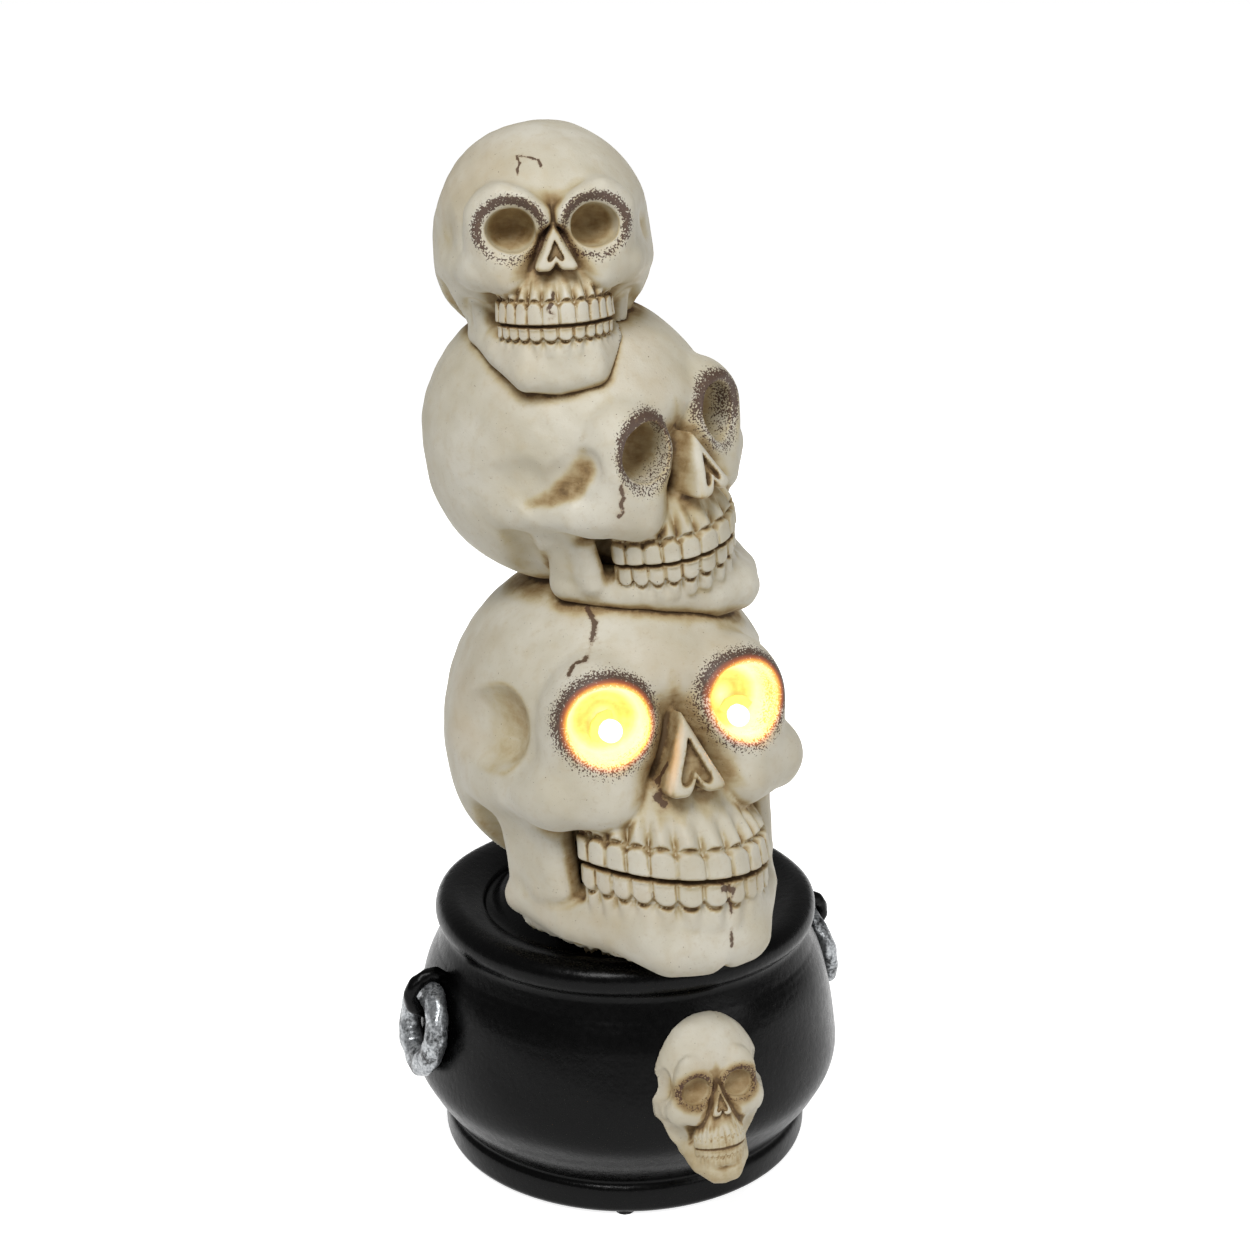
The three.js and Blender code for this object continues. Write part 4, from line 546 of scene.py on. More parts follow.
def folded(p):
    """The coordinates with the far half laid on the near one."""
    return np.abs(p[0]), p[1], p[2]


def rows(p):
    """Coordinates on a grid or in a list as rows of points."""
    return np.stack([np.ravel(part) for part in np.broadcast_arrays(*p)], 1)


def mouth_rise(p, s):
    """Height above the mouth's line, which isn't quite level."""
    shift, turn, bend = s["tilt"]
    return p[2] - (s["mouth"] + shift + turn * p[0] + bend * p[0] ** 2)


def tooth_places(p, s):
    """Tooth numbers along the upper and lower arch, and the share of the arch that has teeth."""
    x, y = p[0], p[1]
    across, forward = s["arch"]
    angle = np.degrees(np.arctan2(x / across, -(y - s["arch_y"]) / forward))
    counts = np.arange(len(TOOTH_EDGES))
    upper = np.sign(angle) * np.interp(np.abs(angle), TOOTH_EDGES, counts)
    shifted = angle + LOWER_TOOTH_SHIFT
    lower = np.sign(shifted) * np.interp(np.abs(shifted) * LOWER_TOOTH_CLOSER, TOOTH_EDGES, counts)
    return upper, lower, 1 - step(*TOOTH_SPAN, np.abs(angle))


def tooth_relief(p, s):
    """How far the teeth and their roots stand out of the arch."""
    upper, lower, share = tooth_places(p, s)
    rise = mouth_rise(p, s)
    relief = -MOUTH_GROOVE * bump(rise, MOUTH_GROOVE)
    for place, along, height, root in ((upper, rise, s["upper_gum"], 1.0), (lower, -rise, s["lower_gum"], 0.6)):
        part = place - np.floor(place) - 0.5
        pillow = 1 - 0.2 * (2 * part) ** 2 - 0.5 * np.abs(2 * part) ** 10
        gum = height * (1 - 0.26 * np.abs(2 * part) ** 2.4)
        face = step(-0.2, 1.3, along) * (1 - step(gum - 1.3, gum + 0.5, along))
        relief = relief + TOOTH_HEIGHT * pillow * face
        above = step(gum - 0.4, gum + 1.6, along) * (1 - step(gum + 2, gum + s["root"], along))
        ridge = ROOT_HEIGHT * np.cos(np.pi * part) ** 2 - ROOT_GROOVE * np.abs(2 * part) ** 4
        relief = relief + root * above * ridge - GUM_GROOVE * bump(along - gum, 1.0)
    return relief * share * s["tooth"]


def lower_jaw(p, q, s):
    jaw = band(p, s["jaw"])
    if s["cleft"]:
        place, size = s["cleft"]
        lowest = min(z - radius for _, _, z, radius in s["jaw"])
        jaw = soft_max(jaw, size - np.hypot(p[0] - place, (p[2] - lowest) / 2), BLEND["cleft"])
    jaw = soft_min(jaw, band(p, s["ledge"]), BLEND["ledge"])
    branch = limb(q, *s["ramus"][0])
    for part in s["ramus"][1:]:
        branch = soft_min(branch, limb(q, *part), BLEND["branches"])
    jaw = soft_min(jaw, branch, BLEND["ramus"])
    return soft_min(jaw, ellipsoid(q, *CORE), BLEND["core"])


def upper_jaw(p, q, s):
    across, forward = s["arch"]
    ring = np.sqrt((p[0] / across) ** 2 + ((p[1] - s["arch_y"]) / forward) ** 2)
    wall = (ring - 1) * min(s["arch"])
    rise = mouth_rise(p, s)
    lean = s["lean"] * np.maximum(rise, 0) + s["narrow"] * np.maximum(rise - s["upper_gum"], 0)
    upper = soft_max(wall + lean, np.maximum(p[2] - s["upper_top"], -1 - rise), BLEND["upper_arch"])
    lower = soft_max(wall + 1.1, np.maximum(rise - 1, -rise - s["lower_gum"] - 7), BLEND["lower_arch"])
    jaw = np.minimum(upper, lower) - tooth_relief(p, s)
    jaw = soft_max(jaw, p[1] - s["arch_y"] + JAW_BACK, BLEND["arch_back"])
    nose = s["nose"]
    centre = (0, nose["front"][0] + 15, (nose["apex"] + nose["base"]) / 2 - 3)
    jaw = soft_min(jaw, ellipsoid(q, centre, (nose["half"] - 1, 12, 12)), BLEND["nose_mass"])
    flat, front = nose_outline(q, nose)
    wedge = np.maximum(soft_max(flat, front - p[1], BLEND["nose_front"]), p[1] - s["arch_y"])
    return soft_min(jaw, wedge, BLEND["nose"])


def nose_outline(q, nose):
    """Distance from the nose's heart-shaped outline, and the place of its sloping front."""
    apex, base, half = nose["apex"], nose["base"], nose["half"]
    side = (q[0] * (apex - base) + (q[2] - apex) * half) / math.hypot(apex - base, half)
    foot = base + nose["drop"] * np.clip(1 - q[0] / 4, 0, 1) ** 2 - q[2]
    share = np.clip((apex - q[2]) / (apex - base), 0, 1)
    high, low = nose["front"]
    return soft_max(side, foot, BLEND["nose_outline"]), high + (low - high) * share


def nose_hole(q, s):
    flat, front = nose_outline(q, s["nose"])
    return np.maximum(flat + s["nose"]["inset"], q[1] - front - s["nose"]["depth"])


def lumps(p):
    """The slight unevenness of a hand-worked casting."""
    x, y, z = p
    wave = np.sin(x * 0.13 + 1.3 * np.sin(z * 0.07)) * np.sin(y * 0.11 + 0.4) * np.sin(z * 0.12 + 2)
    return 0.45 * wave + 0.14 * np.sin(x * 0.41 + z * 0.23) * np.sin(y * 0.37 - z * 0.31)


def socket_frame(q, s):
    """Coordinates from an eye socket's middle, with -y out of the socket, which looks a little to the side."""
    ex, ey, ez = s["eye"]
    turn = math.radians(s["eye_turn"])
    x, y = q[0] - ex, q[1] - ey
    return x * math.cos(turn) + y * math.sin(turn), y * math.cos(turn) - x * math.sin(turn), q[2] - ez


def skull_form(p, s):
    """Depth below a skull's surface, negative inside."""
    x, y, z = q = folded(p)
    d = soft_min(ellipsoid(p, *CRANIUM), ellipsoid(p, *BASE_BULGE), BLEND["bulge"])
    front, high = FACE_TOP
    d = soft_max(d, (front + (high - z) * FACE_SLOPE - y) * FACE_STEEP, BLEND["face"])
    d = soft_max(d, -limb(q, *s["temple"]), s["temple_edge"])
    d = soft_max(d, -limb(q, *s["ear"]), BLEND["ear"])
    d = soft_max(d, -ellipsoid(q, *CHEEK_HOLLOW), BLEND["hollow"])
    d = soft_min(d, band(q, s["cheek_arch"]), BLEND["cheek_arch"])
    mound = soft_min(ellipsoid(q, *ORBIT), limb(q, *s["cheek"]), BLEND["cheek"])
    # Narrow round the socket, wider at the forehead and widest below the cheek bone
    width = 1.8 + 0.8 * step(10, 26, z) * (1 - step(22, 34, x)) + 5 * step(-2, -12, z) * step(-44, -32, y)
    d = soft_min(d, mound, width)
    if s["dent"]:
        d = soft_max(d, -limb(q, *s["dent"]), BLEND["dent"])
    if s["brow"]:
        d = soft_min(d, chain(q, *s["brow"]), s["brow_edge"])
    if s["neck"]:
        d = soft_min(d, ellipsoid(p, *NECK), BLEND["neck"])
    if s["plinth"]:
        ragged = np.sin(p[0] * 0.9 + np.sin(y * 0.7)) * np.sin(y * 1.1 + 1) + 0.6 * np.sin(z * 1.6 + p[0])
        d = soft_min(d, limb(p, *s["plinth"]) - 0.7 * ragged, BLEND["plinth"])
    d = soft_min(d, lower_jaw(p, q, s), BLEND["lower_jaw"])
    d = soft_min(d, upper_jaw(p, q, s), BLEND["upper_jaw"])
    socket = socket_frame(q, s)
    d = soft_max(d, -ellipsoid(socket, (0.5, -s["rim_out"], 0), s["rim_radii"]), BLEND["rim"])
    d = soft_max(d, -ellipsoid(socket, (0, 0, 0), s["eye_radii"]), s["eye_edge"])
    return soft_max(d, -nose_hole(q, s), BLEND["nose_hole"]) - lumps(p)


def ruled(zones):
    """The lines of a grid along one axis."""
    parts = [np.linspace(low, high, round((high - low) / size), endpoint=False) for low, high, size in zones]
    return np.append(np.concatenate(parts), zones[-1][1]).astype(np.float32)


def sampled(depth, axes):
    """depth over a ruled grid, worked out in full only in the blocks near the surface."""
    cells = [len(axis) - 1 for axis in axes]
    starts = [np.arange(0, count, BLOCK) for count in cells]
    ends = [np.minimum(start + BLOCK, count) for start, count in zip(starts, cells)]
    middles = [(axis[a] + axis[b]) / 2 for axis, a, b in zip(axes, starts, ends)]
    halves = [(axis[b] - axis[a]) / 2 for axis, a, b in zip(axes, starts, ends)]
    at = depth(tuple(np.meshgrid(*middles, indexing="ij")))
    reach = np.sqrt(sum(half ** 2 for half in np.meshgrid(*halves, indexing="ij")))
    near = np.abs(at) < NEAR * reach
    first = [np.minimum(np.arange(count + 1) // BLOCK, len(start) - 1) for count, start in zip(cells, starts)]
    last = [np.maximum(np.arange(count + 1) - 1, 0) // BLOCK for count in cells]
    values = at[np.ix_(*first)]
    wanted = [near[np.ix_(*blocks)] for blocks in product(*zip(first, last))]
    i, j, k = np.nonzero(np.any(wanted, 0))
    values[i, j, k] = depth((axes[0][i], axes[1][j], axes[2][k]))
    return values


def net(values, axes):
    """Surface-net points and quads of a sampled depth."""
    inside = values < 0
    shape = np.array(values.shape) - 1
    corners = np.zeros(shape, np.int8)
    for dx, dy, dz in np.ndindex(2, 2, 2):
        corners += inside[dx:dx + shape[0], dy:dy + shape[1], dz:dz + shape[2]]
    crossed = (corners > 0) & (corners < 8)
    cells = np.argwhere(crossed)
    number = np.full(shape, -1)
    number[crossed] = np.arange(len(cells))
    total = np.zeros((len(cells), 3))
    count = np.zeros(len(cells))
    for axis, others in enumerate(OTHER_AXES):
        for shift in np.ndindex(2, 2):
            start = cells.copy()
            start[:, others] += shift
            end = start.copy()
            end[:, axis] += 1
            a, b = values[tuple(start.T)], values[tuple(end.T)]
            hit = (a < 0) != (b < 0)
            point = start[hit].astype(float)
            point[:, axis] += a[hit] / (a[hit] - b[hit])
            total[hit] += point
            count[hit] += 1
    places = total / count[:, None]
    points = np.stack([np.interp(places[:, i], np.arange(len(axes[i])), axes[i]) for i in range(3)], 1)
    quads = []
    for axis, others in enumerate(OTHER_AXES):
        low = inside.take(range(shape[axis]), axis)
        high = inside.take(range(1, shape[axis] + 1), axis)
        edges = np.argwhere(low != high)
        across = edges[:, others]
        edges = edges[np.all((across > 0) & (across < shape[others]), 1)]
        around = []
        for shift in ((-1, -1), (0, -1), (0, 0), (-1, 0)):
            cell = edges.copy()
            cell[:, others] += shift
            around.append(number[tuple(cell.T)])
        quad = np.stack(around, 1)
        outward = low[tuple(edges.T)]
        if axis == 1:
            outward = ~outward
        quad[~outward] = quad[~outward][:, ::-1]
        quads.append(quad)
    return points, np.concatenate(quads)


def slope(depth, points, reach):
    """How depth changes along each axis, by the difference a reach off either way."""
    found = np.empty_like(points)
    for axis in range(3):
        shift = np.zeros(3)
        shift[axis] = reach
        found[:, axis] = depth(tuple((points + shift).T)) - depth(tuple((points - shift).T))
    return found / (2 * reach)


def settled(depth, points):
    """The points moved onto the surface."""
    for _ in range(SETTLE_STEPS):
        direction = slope(depth, points, SETTLE_REACH)
        move = -depth(tuple(points.T))[:, None] * direction / ((direction ** 2).sum(1)[:, None] + 1e-6)
        length = np.linalg.norm(move, axis=1, keepdims=True)
        points = points + move * np.minimum(1, SETTLE_LIMIT / np.maximum(length, 1e-9))
    return points


def netted(depth, rules):
    """Points and quads of a depth's surface."""
    axes = [ruled(zones) for zones in rules]
    points, quads = net(sampled(depth, axes), axes)
    return settled(depth, points), quads


def facing_of(points, form):
    """The directions out of a skull's surface at its points."""
    found = slope(lambda p: skull_form(p, form), points, FACING_REACH)
    return found / np.linalg.norm(found, axis=1, keepdims=True)


class Skull:
    """A skull's form, its place and its way between units and millimetres."""

    def __init__(self, look, form):
        self.form = form
        self.unit = look["half_width"] * UNIT_SHARE
        self.place = np.array(look["place"], float)
        yaw, pitch, roll = (math.radians(angle) for angle in look["turn"])
        turn = Matrix.Rotation(yaw, 3, "Z") @ Matrix.Rotation(pitch, 3, "X") @ Matrix.Rotation(roll, 3, "Y")
        self.turn = np.array(turn)
        self.reach = look["half_width"] * 1.75

    def to_world(self, points):
        return points @ self.turn.T * self.unit + self.place

    def to_local(self, points):
        return (points - self.place) @ self.turn / self.unit

    def depth(self, points):
        """Depth in millimetres at world points, as rows."""
        local = self.to_local(points).astype(np.float32)
        return skull_form(tuple(local.T), self.form) * self.unit


STACK = (Skull(LOWER, LOWER_FORM), Skull(MIDDLE, MIDDLE_FORM), Skull(TOP, TOP_FORM))
lower_skull, middle_skull, top_skull = STACK


def shelter(points, normals, reaches):
    """How much of the space above each point the skulls fill, from 0 to 1: the measure for the brown wash and
    painted shade.
    """
    total = np.zeros(len(points))
    for reach in reaches:
        probes = points + normals * reach
        nearest = np.full(len(points), float(reach))
        for skull in STACK:
            close = np.linalg.norm(probes - skull.place, axis=1) < skull.reach + reach
            nearest[close] = np.minimum(nearest[close], skull.depth(probes[close]))
        total += np.clip(1 - nearest / reach, 0, 1)
    return total / len(reaches)


# Making pieces


def placed(name, data):
    """An object in the scene that shows the data."""
    thing = bpy.data.objects.new(name, data)
    bpy.context.scene.collection.objects.link(thing)
    return thing


def add_mesh(name, points, faces, slot_name, body="base"):
    """A smooth piece from points in millimetres, measured from the cauldron's axis."""
    data = bpy.data.meshes.new(name)
    data.from_pydata((points + AXIS) * MM, [], faces.tolist())
    data.polygons.foreach_set("use_smooth", [True] * len(data.polygons))
    data.update()
    piece = placed(name, data)
    data.materials.append(LOOKS[slot_name])
    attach(piece, body)
    return piece


def give(piece, **values):
    """Numbers that the material reads: one for each point, or one for all of them."""
    count = len(piece.data.vertices)
    for name, numbers in values.items():
        attribute = piece.data.attributes.new(name, "FLOAT", "POINT")
        attribute.data.foreach_set("value", np.full(count, numbers, np.float32))


def laid(shade, gain, loss, most):
    """Brown wash and painted shade that gather where a point is sheltered more than a little."""
    return np.clip(shade * gain - loss, 0, most)


def rim_reach(local, form):
    """Distance from an eye socket's middle: 1 is its edge."""
    x, _, z = socket_frame(folded(local.T), form)
    across, _, tall = form["eye_radii"]
    return np.hypot(x / across, z / tall)


def speckle_of(local, form):
    """The sprayed band round the sockets, heavier above them and outside."""
    reach = rim_reach(local, form)
    ex, _, ez = form["eye"]
    heavy = 0.55 + 0.45 * step(-8, 8, local[:, 2] - ez + 0.35 * (np.abs(local[:, 0]) - ex))
    centre, width = form["spray"]
    return heavy * bump(np.maximum(reach - centre, (centre - reach) * 1.6), width) * step(-18, -30, local[:, 1])


def socket_of(local, form):
    """1 within the sockets and the nose opening, where the brown wash and painted shade lie thick."""
    eyes = step(1.08, 0.8, rim_reach(local, form)) * step(-20, -30, local[:, 1])
    flat, front = nose_outline(folded(local.T), form["nose"])
    inset = form["nose"]["inset"]
    nose = step(-inset + 0.6, -inset - 1.2, flat) * step(1.0, 3.0, local[:, 1] - front)
    return np.maximum(eyes, nose * step(-24, -36, local[:, 1]))


def temple_wash_and_shade_of(local, form):
    """The brown wash and painted shade that lie in the temples, darkest along their front edge."""
    x, y, z = q = folded(local.T)
    if form is MIDDLE_FORM:
        return DENT_WASH_AND_SHADE * step(1.6, -2.2, band(q, TEMPLE_DENT_SHADE_AND_WASH))
    start, _, radius, _ = form["temple"]
    deep = step(1.2, -0.3, np.abs(limb(q, *form["temple"]))) * step(-46, -40, y)
    return TEMPLE_WASH_AND_SHADE * deep * bump(np.hypot(y - start[1] - 1, (z - start[2]) * 0.7), radius * 1.15)


def crack_of(local, name):
    """1 on the cracks of a skull, and 0 away from them."""
    most = np.zeros(len(local))
    for line, width in CRACKS[name]:
        gap = chain(tuple(local.T), line, [0] * len(line))
        most = np.maximum(most, bump(gap, width * CRACK_WIDEN))
    return most


def add_skull(name, skull, rest=None):
    """A painted skull, cut to the crown of the one that it rests on, or else level at its base."""
    def depth(p):
        d = skull_form(p, skull.form)
        world = skull.to_world(rows(p))
        if rest is None:
            cut = (SKULL_BASE_LEVEL - world[:, 2]) / skull.unit
        else:
            near = np.linalg.norm(world - rest.place, axis=1) < rest.reach
            cut = np.full(len(world), FAR_INSIDE)
            cut[near] = (SEAM - rest.depth(world[near])) / skull.unit
        return np.maximum(d, cut.reshape(d.shape))

    points, quads = netted(depth, RULES)
    world = skull.to_world(points)
    facing = facing_of(points, skull.form) @ skull.turn.T
    # Brown wash and painted shade: darker in creases, in hollows and where the skulls meet
    crease = laid(shelter(world, facing, CREASE_REACHES), *CREASE_RULE)
    hollow = laid(shelter(world, facing, HOLLOW_REACHES), *HOLLOW_RULE)
    piece = add_mesh(f"painted_{name}", world, quads, "painted_bone")
    # Thick brown wash and painted shade in the sockets and the nose opening
    wash = np.maximum(hollow, SOCKET_WASH_AND_SHADE * socket_of(points, skull.form))
    give(piece, crease=crease, wash=np.maximum(wash, temple_wash_and_shade_of(points, skull.form)),
         speckle=speckle_of(points, skull.form), crack=crack_of(points, name), glow=glow_of(points, skull))
    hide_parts(name)


def brew_level(radius):
    """Level of the filling at a radius from the cauldron's axis."""
    outline = sorted(BREW)
    return np.interp(radius, [r for r, _ in outline], [z for _, z in outline])


def closed_quads(rounds, count):
    """Quads over a grid of points that closes both ways."""
    i, j = np.arange(rounds)[:, None] * count, np.arange(count)[None]
    follow, beyond = (i + count) % (rounds * count), (j + 1) % count
    return np.stack([i + j, follow + j, follow + beyond, i + beyond], -1).reshape(-1, 4)


def add_flash():
    """A ragged rim of casting round the foot of the lowest skull, where it was set in the filling."""
    steps = FLASH_STEPS
    angles = np.linspace(0, 2 * np.pi, steps, endpoint=False)
    way = np.stack([np.cos(angles), np.sin(angles)], 1)
    centre = np.array([LOWER["place"][0], LOWER["place"][1] / 2])
    reach = np.linspace(*FLASH_REACHES)
    flat = centre + way[:, None] * reach[:, None]
    level = brew_level(np.hypot(flat[..., 0], flat[..., 1])) + FLASH_LIFT
    depth = lower_skull.depth(np.concatenate([flat, level[..., None]], 2).reshape(-1, 3)).reshape(steps, -1)
    edge = np.array([reach[np.nonzero(row < 0)[0][-1]] if (row < 0).any() else reach[0] for row in depth])
    edge = np.minimum(edge, np.percentile(edge, 97))
    rough = sum(np.sin(angles * count + count) / (1 + i * 0.45) for i, count in enumerate(FLASH_WAVES))
    width = np.clip(FLASH_WIDTH + 0.75 * rough, *FLASH_LIMITS)
    points = []
    for along, high in FLASH_ROWS:
        out = edge + (along * width if along > 0 else along)
        place = centre + way * out[:, None]
        top = brew_level(np.hypot(place[:, 0], place[:, 1])) + FLASH_LIFT + high * (0.6 + 0.25 * width)
        points.append(np.concatenate([place, top[:, None]], 1))
    quads = closed_quads(len(FLASH_ROWS), steps)[:-steps, [0, 3, 2, 1]]
    piece = add_mesh("casting_flash", np.concatenate(points), quads, "painted_bone")
    give(piece, wash=0.3, crease=0.15, speckle=0, crack=0, glow=0)


def glow_of(local, skull):
    """The lamps' light in the lowest skull's sockets: amber on the floor, bright on the wall, gone past the rim."""
    if skull is not lower_skull:
        return 0
    wall = np.interp(rim_reach(local, skull.form), GLOW_REACHES, GLOW_SHARES)
    high = 0.1 * step(0, 10, local[:, 2] - skull.form["eye"][2])
    return np.clip(wall + high * (wall > 0.5), 0, 1) * step(-28, -34, local[:, 1])


def spline(points, size):
    """A smooth line through the points, cut about every size."""
    points = np.array(points, float)
    ends = np.vstack([2 * points[0] - points[1], points, 2 * points[-1] - points[-2]])
    line = []
    for a, b, c, d in zip(ends, ends[1:], ends[2:], ends[3:]):
        count = max(1, round(np.linalg.norm(c - b) / size))
        for t in np.arange(count) / count:
            square, cube = (2 * a - 5 * b + 4 * c - d) * t ** 2, (3 * b - a - 3 * c + d) * t ** 3
            line.append(0.5 * (2 * b + (c - a) * t + square + cube))
    return np.array(line + [points[-1]])


def turned(outline, sides):
    """Points and quads of a closed outline of (radius, level) turned round the axis."""
    outline = np.asarray(outline)
    angles = np.arange(sides) * 2 * math.pi / sides
    points = np.stack([
        np.outer(np.sin(angles), outline[:, 0]).ravel(), -np.outer(np.cos(angles), outline[:, 0]).ravel(),
        np.tile(outline[:, 1], sides),
    ], 1)
    return points, closed_quads(sides, len(outline))


def belly_radius(level):
    curve = spline(BELLY, WALL_STEP)
    return np.interp(level, curve[:, 1], curve[:, 0])


def add_cauldron():
    outline = np.vstack([
        spline(FOOT, EDGE_STEP), spline(BELLY, WALL_STEP), spline(LIP, EDGE_STEP), spline(SEAT, 2), INSIDE,
    ])
    points, quads = turned(outline, CAULDRON_SIDES)
    x, y, z = points.T
    angle, radius = np.arctan2(x, -y), np.hypot(x, y)
    outside = step(60, 66, radius)
    # The casting's slight waves, the lathe steps below the lip, and the lip's sag
    wave = 0.22 * np.sin(3 * angle + 0.6) * np.sin(z * 0.06)
    wave += 0.16 * np.sin(7 * angle + z * 0.11 + 1) * np.sin(z * 0.17)
    steps = 0.05 * np.sin(z * 2.4 + 0.6 * np.sin(4 * angle)) * step(62, 74, z) * step(90, 84, z)
    swell = 1 + outside * (wave + steps) / radius
    sag = 0.35 * outside * step(88, 96, z) * (np.sin(4 * angle + 1) + np.sin(9 * angle) * 0.5)
    points = np.stack([x * swell, y * swell, z + sag], 1)
    piece = add_mesh("cauldron", points, quads, "black_paint")
    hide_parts("cauldron_body")


def add_brew():
    outline = np.vstack([spline(BREW, EDGE_STEP), [(BREW[-1][0], BREW_SEAT), (BREW[0][0], BREW_SEAT)]])
    points, quads = turned(outline, CAULDRON_SIDES)
    x, y, z = points.T
    angle, radius = np.arctan2(x, -y), np.hypot(x, y)
    surface = step(86, 94, z)
    swirl = 0.7 * np.sin(radius * 0.5 + angle * 2) * bump(radius - 42, 16) + 0.35 * np.sin(9 * angle + radius * 0.3)
    z = z + surface * swirl * step(54, 50, radius)
    sunk = lower_skull.depth(np.stack([x, y, np.maximum(z, SKULL_BASE_LEVEL)], 1)) < 0
    z = np.where(sunk & (surface > 0.5), np.minimum(z, SKULL_BASE_LEVEL - SEAM), z)
    piece = add_mesh("brew", np.stack([x, y, z], 1), quads, "black_paint")
    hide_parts("brew_filling")


def belly_frame(azimuth, level, reach, stand_off):
    """A frame that leans on the belly: x along the wall, -y outwards, z up the wall."""
    high, low = belly_radius(level + reach), belly_radius(level - reach)
    radius = (high + low) / 2 + stand_off
    turn = math.radians(azimuth)
    lean = Matrix.Rotation(-math.atan2(low - high, reach * 2), 3, "X")
    place = np.array([radius * math.sin(turn), -radius * math.cos(turn), level])
    return place, np.array(Matrix.Rotation(turn, 3, "Z") @ lean)


def torus(radius, bar, sides, bar_sides, seed, widen=1.0):
    """A hand-worked ring in the plane of x and z, its bar widened along the ring's radius."""
    around = np.arange(sides) * 2 * math.pi / sides
    across = np.arange(bar_sides) * 2 * math.pi / bar_sides
    a, b = np.meshgrid(around, across, indexing="ij")
    rough = 0.05 * np.sin(5 * a + seed) + 0.04 * np.sin(11 * a + 3 * b + seed) + 0.03 * np.sin(4 * b - 7 * a)
    thick = bar * (1 + rough)
    inner = 1 + 0.06 * (np.cos(b) < 0) * (np.sin(7 * a + 2 * seed) + 1.4 * np.sin(3 * a) + np.sin(13 * a + 1))
    reach = radius + thick * np.cos(b) * inner * widen + 0.25 * np.sin(3 * a + seed)
    points = np.stack([reach * np.sin(a), -thick * np.sin(b), reach * np.cos(a)], -1).reshape(-1, 3)
    return points, closed_quads(sides, bar_sides)[:, [0, 3, 2, 1]]


def add_rings():
    for seed, (side, azimuth) in enumerate(RING_AZIMUTHS.items()):
        place, turn = belly_frame(azimuth, RING_LEVEL, RING_RADIUS, RING_BAR)
        points, quads = torus(RING_RADIUS, RING_BAR, *RING_SIDES, seed, RING_WIDEN)
        ring = add_mesh(f"ring_{side}", points @ turn.T + place, quads, "silver_paint")
        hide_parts(f"ring_handle_{side}")
        points, quads = torus(LUG_RADIUS, LUG_BAR, *LUG_SIDES, seed + 2)
        points = np.stack([points[:, 1], -points[:, 0], points[:, 2] + RING_RADIUS], 1)
        lug = add_mesh(f"lug_{side}", points @ turn.T + place, quads, "black_paint")
        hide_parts(f"ring_lug_{side}")


def add_medallion():
    """The small skull on the belly, flattened, cut to the wall and more worn than the others."""
    place, turn = belly_frame(MEDALLION["azimuth"], MEDALLION["level"], MEDALLION["scale"][0], -MEDALLION["sink"])
    scale = np.array(MEDALLION["scale"]) * UNIT_SHARE
    form = MEDALLION_FORM

    def depth(p):
        world = rows(p) * scale @ turn.T + place
        wall = belly_radius(world[:, 2]) + MEDALLION_GAP - np.hypot(world[:, 0], world[:, 1])
        return np.maximum(skull_form(p, form), (wall / scale.min()).reshape(np.shape(p[0])))

    points, quads = netted(depth, MEDALLION_RULES)
    piece = add_mesh("medallion", points * scale @ turn.T + place, quads, "painted_bone")
    direction = facing_of(points, form)

    def sheltered(reach):
        return np.clip(1 - skull_form(tuple((points + direction * reach).T), form) / reach, 0, 1)

    # Brown wash and painted shade in the hollows, the sockets and a band round them, and darker towards the bottom
    rim = bump(rim_reach(points, form) - 1.2, 0.62) * step(-10, -26, points[:, 1])
    wash = np.maximum.reduce([
        laid(sheltered(MEDALLION_HOLLOW_REACH), *MEDALLION_HOLLOW_RULE),
        SOCKET_WASH_AND_SHADE * socket_of(points, form), SOCKET_WASH_AND_SHADE * rim, 0.3 * step(-20, -60, points[:, 2]),
    ])
    give(piece, crease=laid(sheltered(MEDALLION_CREASE_REACH), *MEDALLION_CREASE_RULE), wash=wash,
         speckle=0.75 * speckle_of(points, form), crack=crack_of(points, "medallion"), glow=0)
    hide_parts("skull_medallion")


def add_lamps():
    """Smooth domes in place of the CAD lamps, and a small amber light in front of each."""
    radius, waist, foot, tip = LAMP_RADIUS, LAMP_WAIST, LAMP_FOOT, LAMP_WAIST + LAMP_RADIUS
    wall = spline(((radius, 0), (radius, 1), (radius, 2.4)), 0.5).tolist()
    dome = [(radius * math.cos(a), waist + radius * math.sin(a)) for a in np.linspace(0, math.pi / 2, 14)[1:-1]]
    flange = [(LAMP_FLANGE, foot), (LAMP_FLANGE, foot + 1), (radius, foot + 1)]
    outline, quads = turned(flange + wall + dome + [(0.02, tip), (0.02, foot)], LAMP_SIDES)
    points = np.stack([outline[:, 0], -outline[:, 2], outline[:, 1]], 1) @ lower_skull.turn.T
    for side, seat in LAMP_SEATS.items():
        centre = lower_skull.to_world(np.array([seat]))[0]
        lamp = add_mesh(f"lamp_{side}", points + centre, quads[:, ::-1], "amber_lamp")
        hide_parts(f"led_{side}")
        light = bpy.data.lights.new(f"glow_{side}", "POINT")
        light.energy = LAMP_LIGHT["energy"]
        light.color = srgb(255, 176, 74)[:3]
        light.shadow_soft_size = LAMP_LIGHT["size"]
        source = placed(f"glow_{side}", light)
        source.location = (centre + lower_skull.turn @ np.array([0, LAMP_LIGHT["out"], 0]) + AXIS) * MM


# Scene


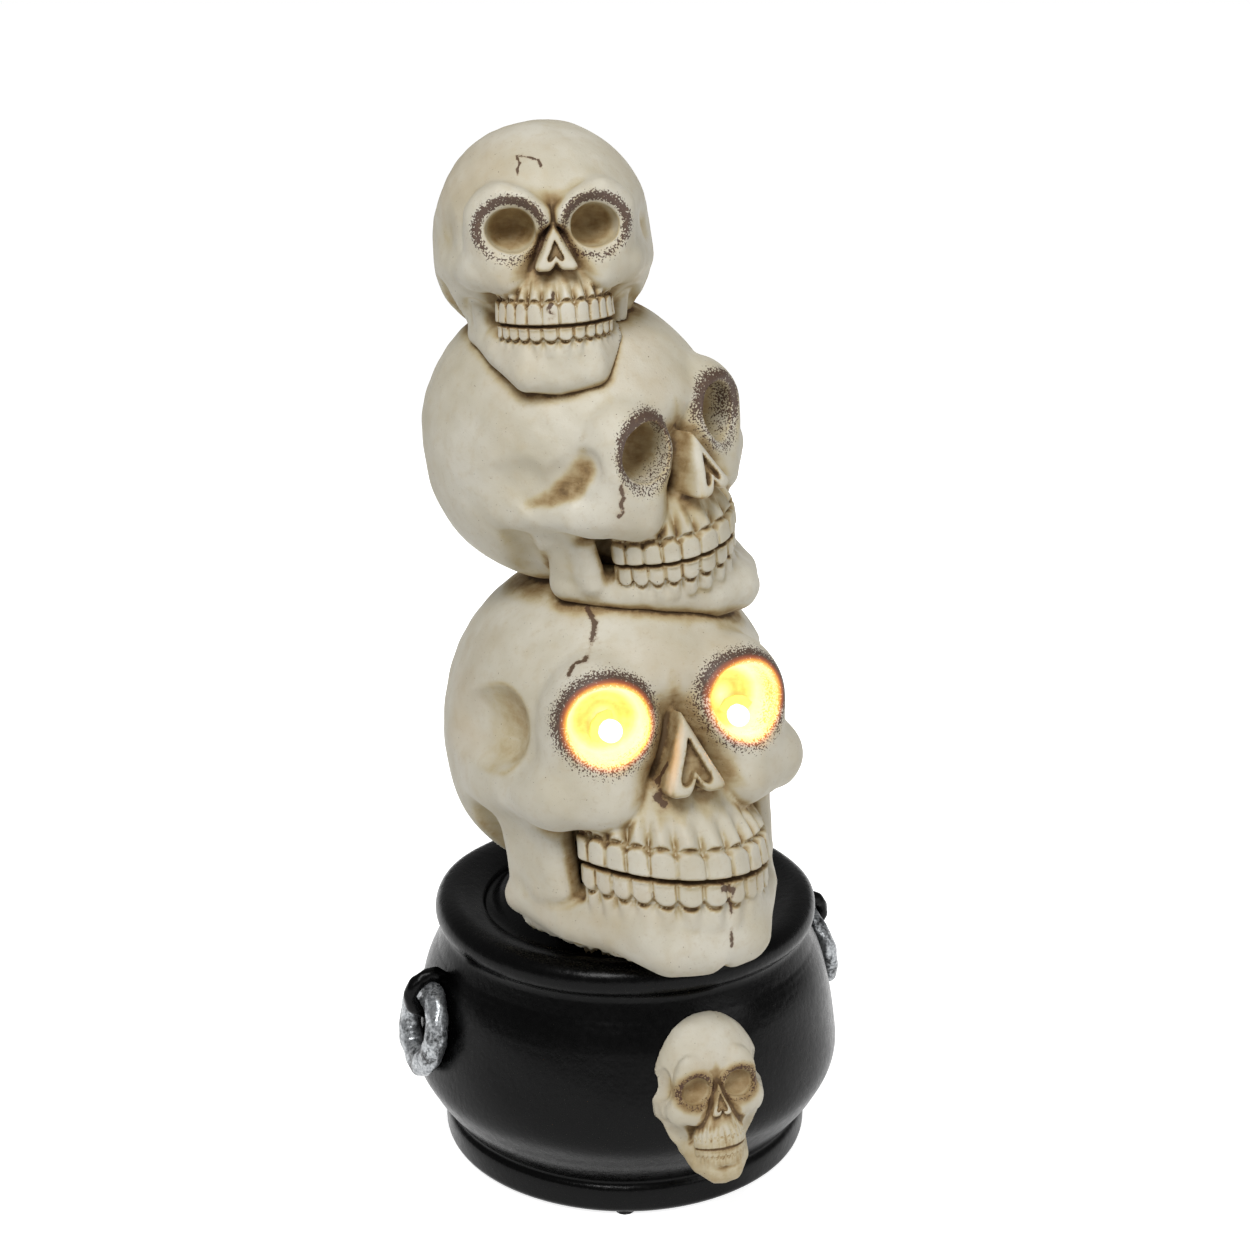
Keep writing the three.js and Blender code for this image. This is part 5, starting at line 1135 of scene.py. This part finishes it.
def add_floor():
    """A white floor that glows to the camera and in reflections, but lights nothing."""
    data = bpy.data.meshes.new("floor")
    half = FLOOR_HALF
    data.from_pydata([(-half, -half, 0), (half, -half, 0), (half, half, 0), (-half, half, 0)], [], [(0, 1, 2, 3)])
    floor = placed("floor", data)
    p = Paint("floor_white")
    p.set(Base_Color=srgb(232, 232, 232), Roughness=0.9, Emission_Color=(1, 1, 1, 1))
    path = p.node("ShaderNodeLightPath").outputs
    seen = p.math("MAXIMUM", path["Is Camera Ray"], path["Is Glossy Ray"])
    seen = p.math("MAXIMUM", seen, path["Is Transmission Ray"])
    p.set(Emission_Strength=p.math("MULTIPLY", seen, FLOOR_GLOW))
    data.materials.append(p.material)


def add_world():
    """A white surround that is bright to the camera and lights the piece only faintly."""
    world = bpy.data.worlds.new("studio")
    bpy.context.scene.world = world
    p = Nodes(world, "Background")
    path = p.node("ShaderNodeLightPath").outputs
    seen = p.math("MAXIMUM", path["Is Camera Ray"], path["Is Transmission Ray"])
    p.set(Color=(1, 1, 1, 1), Strength=p.between(seen, 0, 1, WORLD_FILL, 1))


def add_lights():
    for name, (place, energy, size) in LIGHTS.items():
        light = bpy.data.lights.new(name, "AREA")
        light.energy, light.size = energy, size
        source = placed(name, light)
        source.visible_glossy = name != "back"
        source.location = place
        source.rotation_euler = (LIGHT_AIM - Vector(place)).to_track_quat("-Z", "Y").to_euler()


def add_camera():
    data = bpy.data.cameras.new("camera")
    data.sensor_width = SENSOR_WIDTH
    data.lens = FOCAL_PIXELS / PHOTO_PIXELS * SENSOR_WIDTH
    data.clip_start = 0.05
    camera = placed("camera", data)
    camera.location = (np.array(CAMERA_PLACE) + AXIS) * MM
    camera.rotation_euler = (math.radians(90 - CAMERA_TILT), 0, 0)
    bpy.context.scene.camera = camera


def dress_cad():
    """Every CAD node takes the material of its slot, and the lamp holders their lit one."""
    for part in frame["record"]["subparts"]:
        data = frame["nodes"][part["node"]].data
        data.materials.clear()
        lit = part["node"].startswith("led_holder")
        data.materials.append(LOOKS["led_holder_lit" if lit else part["material_slot"]])


bpy.context.scene.view_settings.view_transform = "Standard"
add_camera()
add_world()
add_lights()
add_floor()
dress_cad()
add_skull("skull_lower", lower_skull)
add_skull("skull_middle", middle_skull, rest=lower_skull)
add_skull("skull_top", top_skull, rest=middle_skull)
add_cauldron()
add_brew()
add_rings()
add_flash()
add_medallion()
add_lamps()
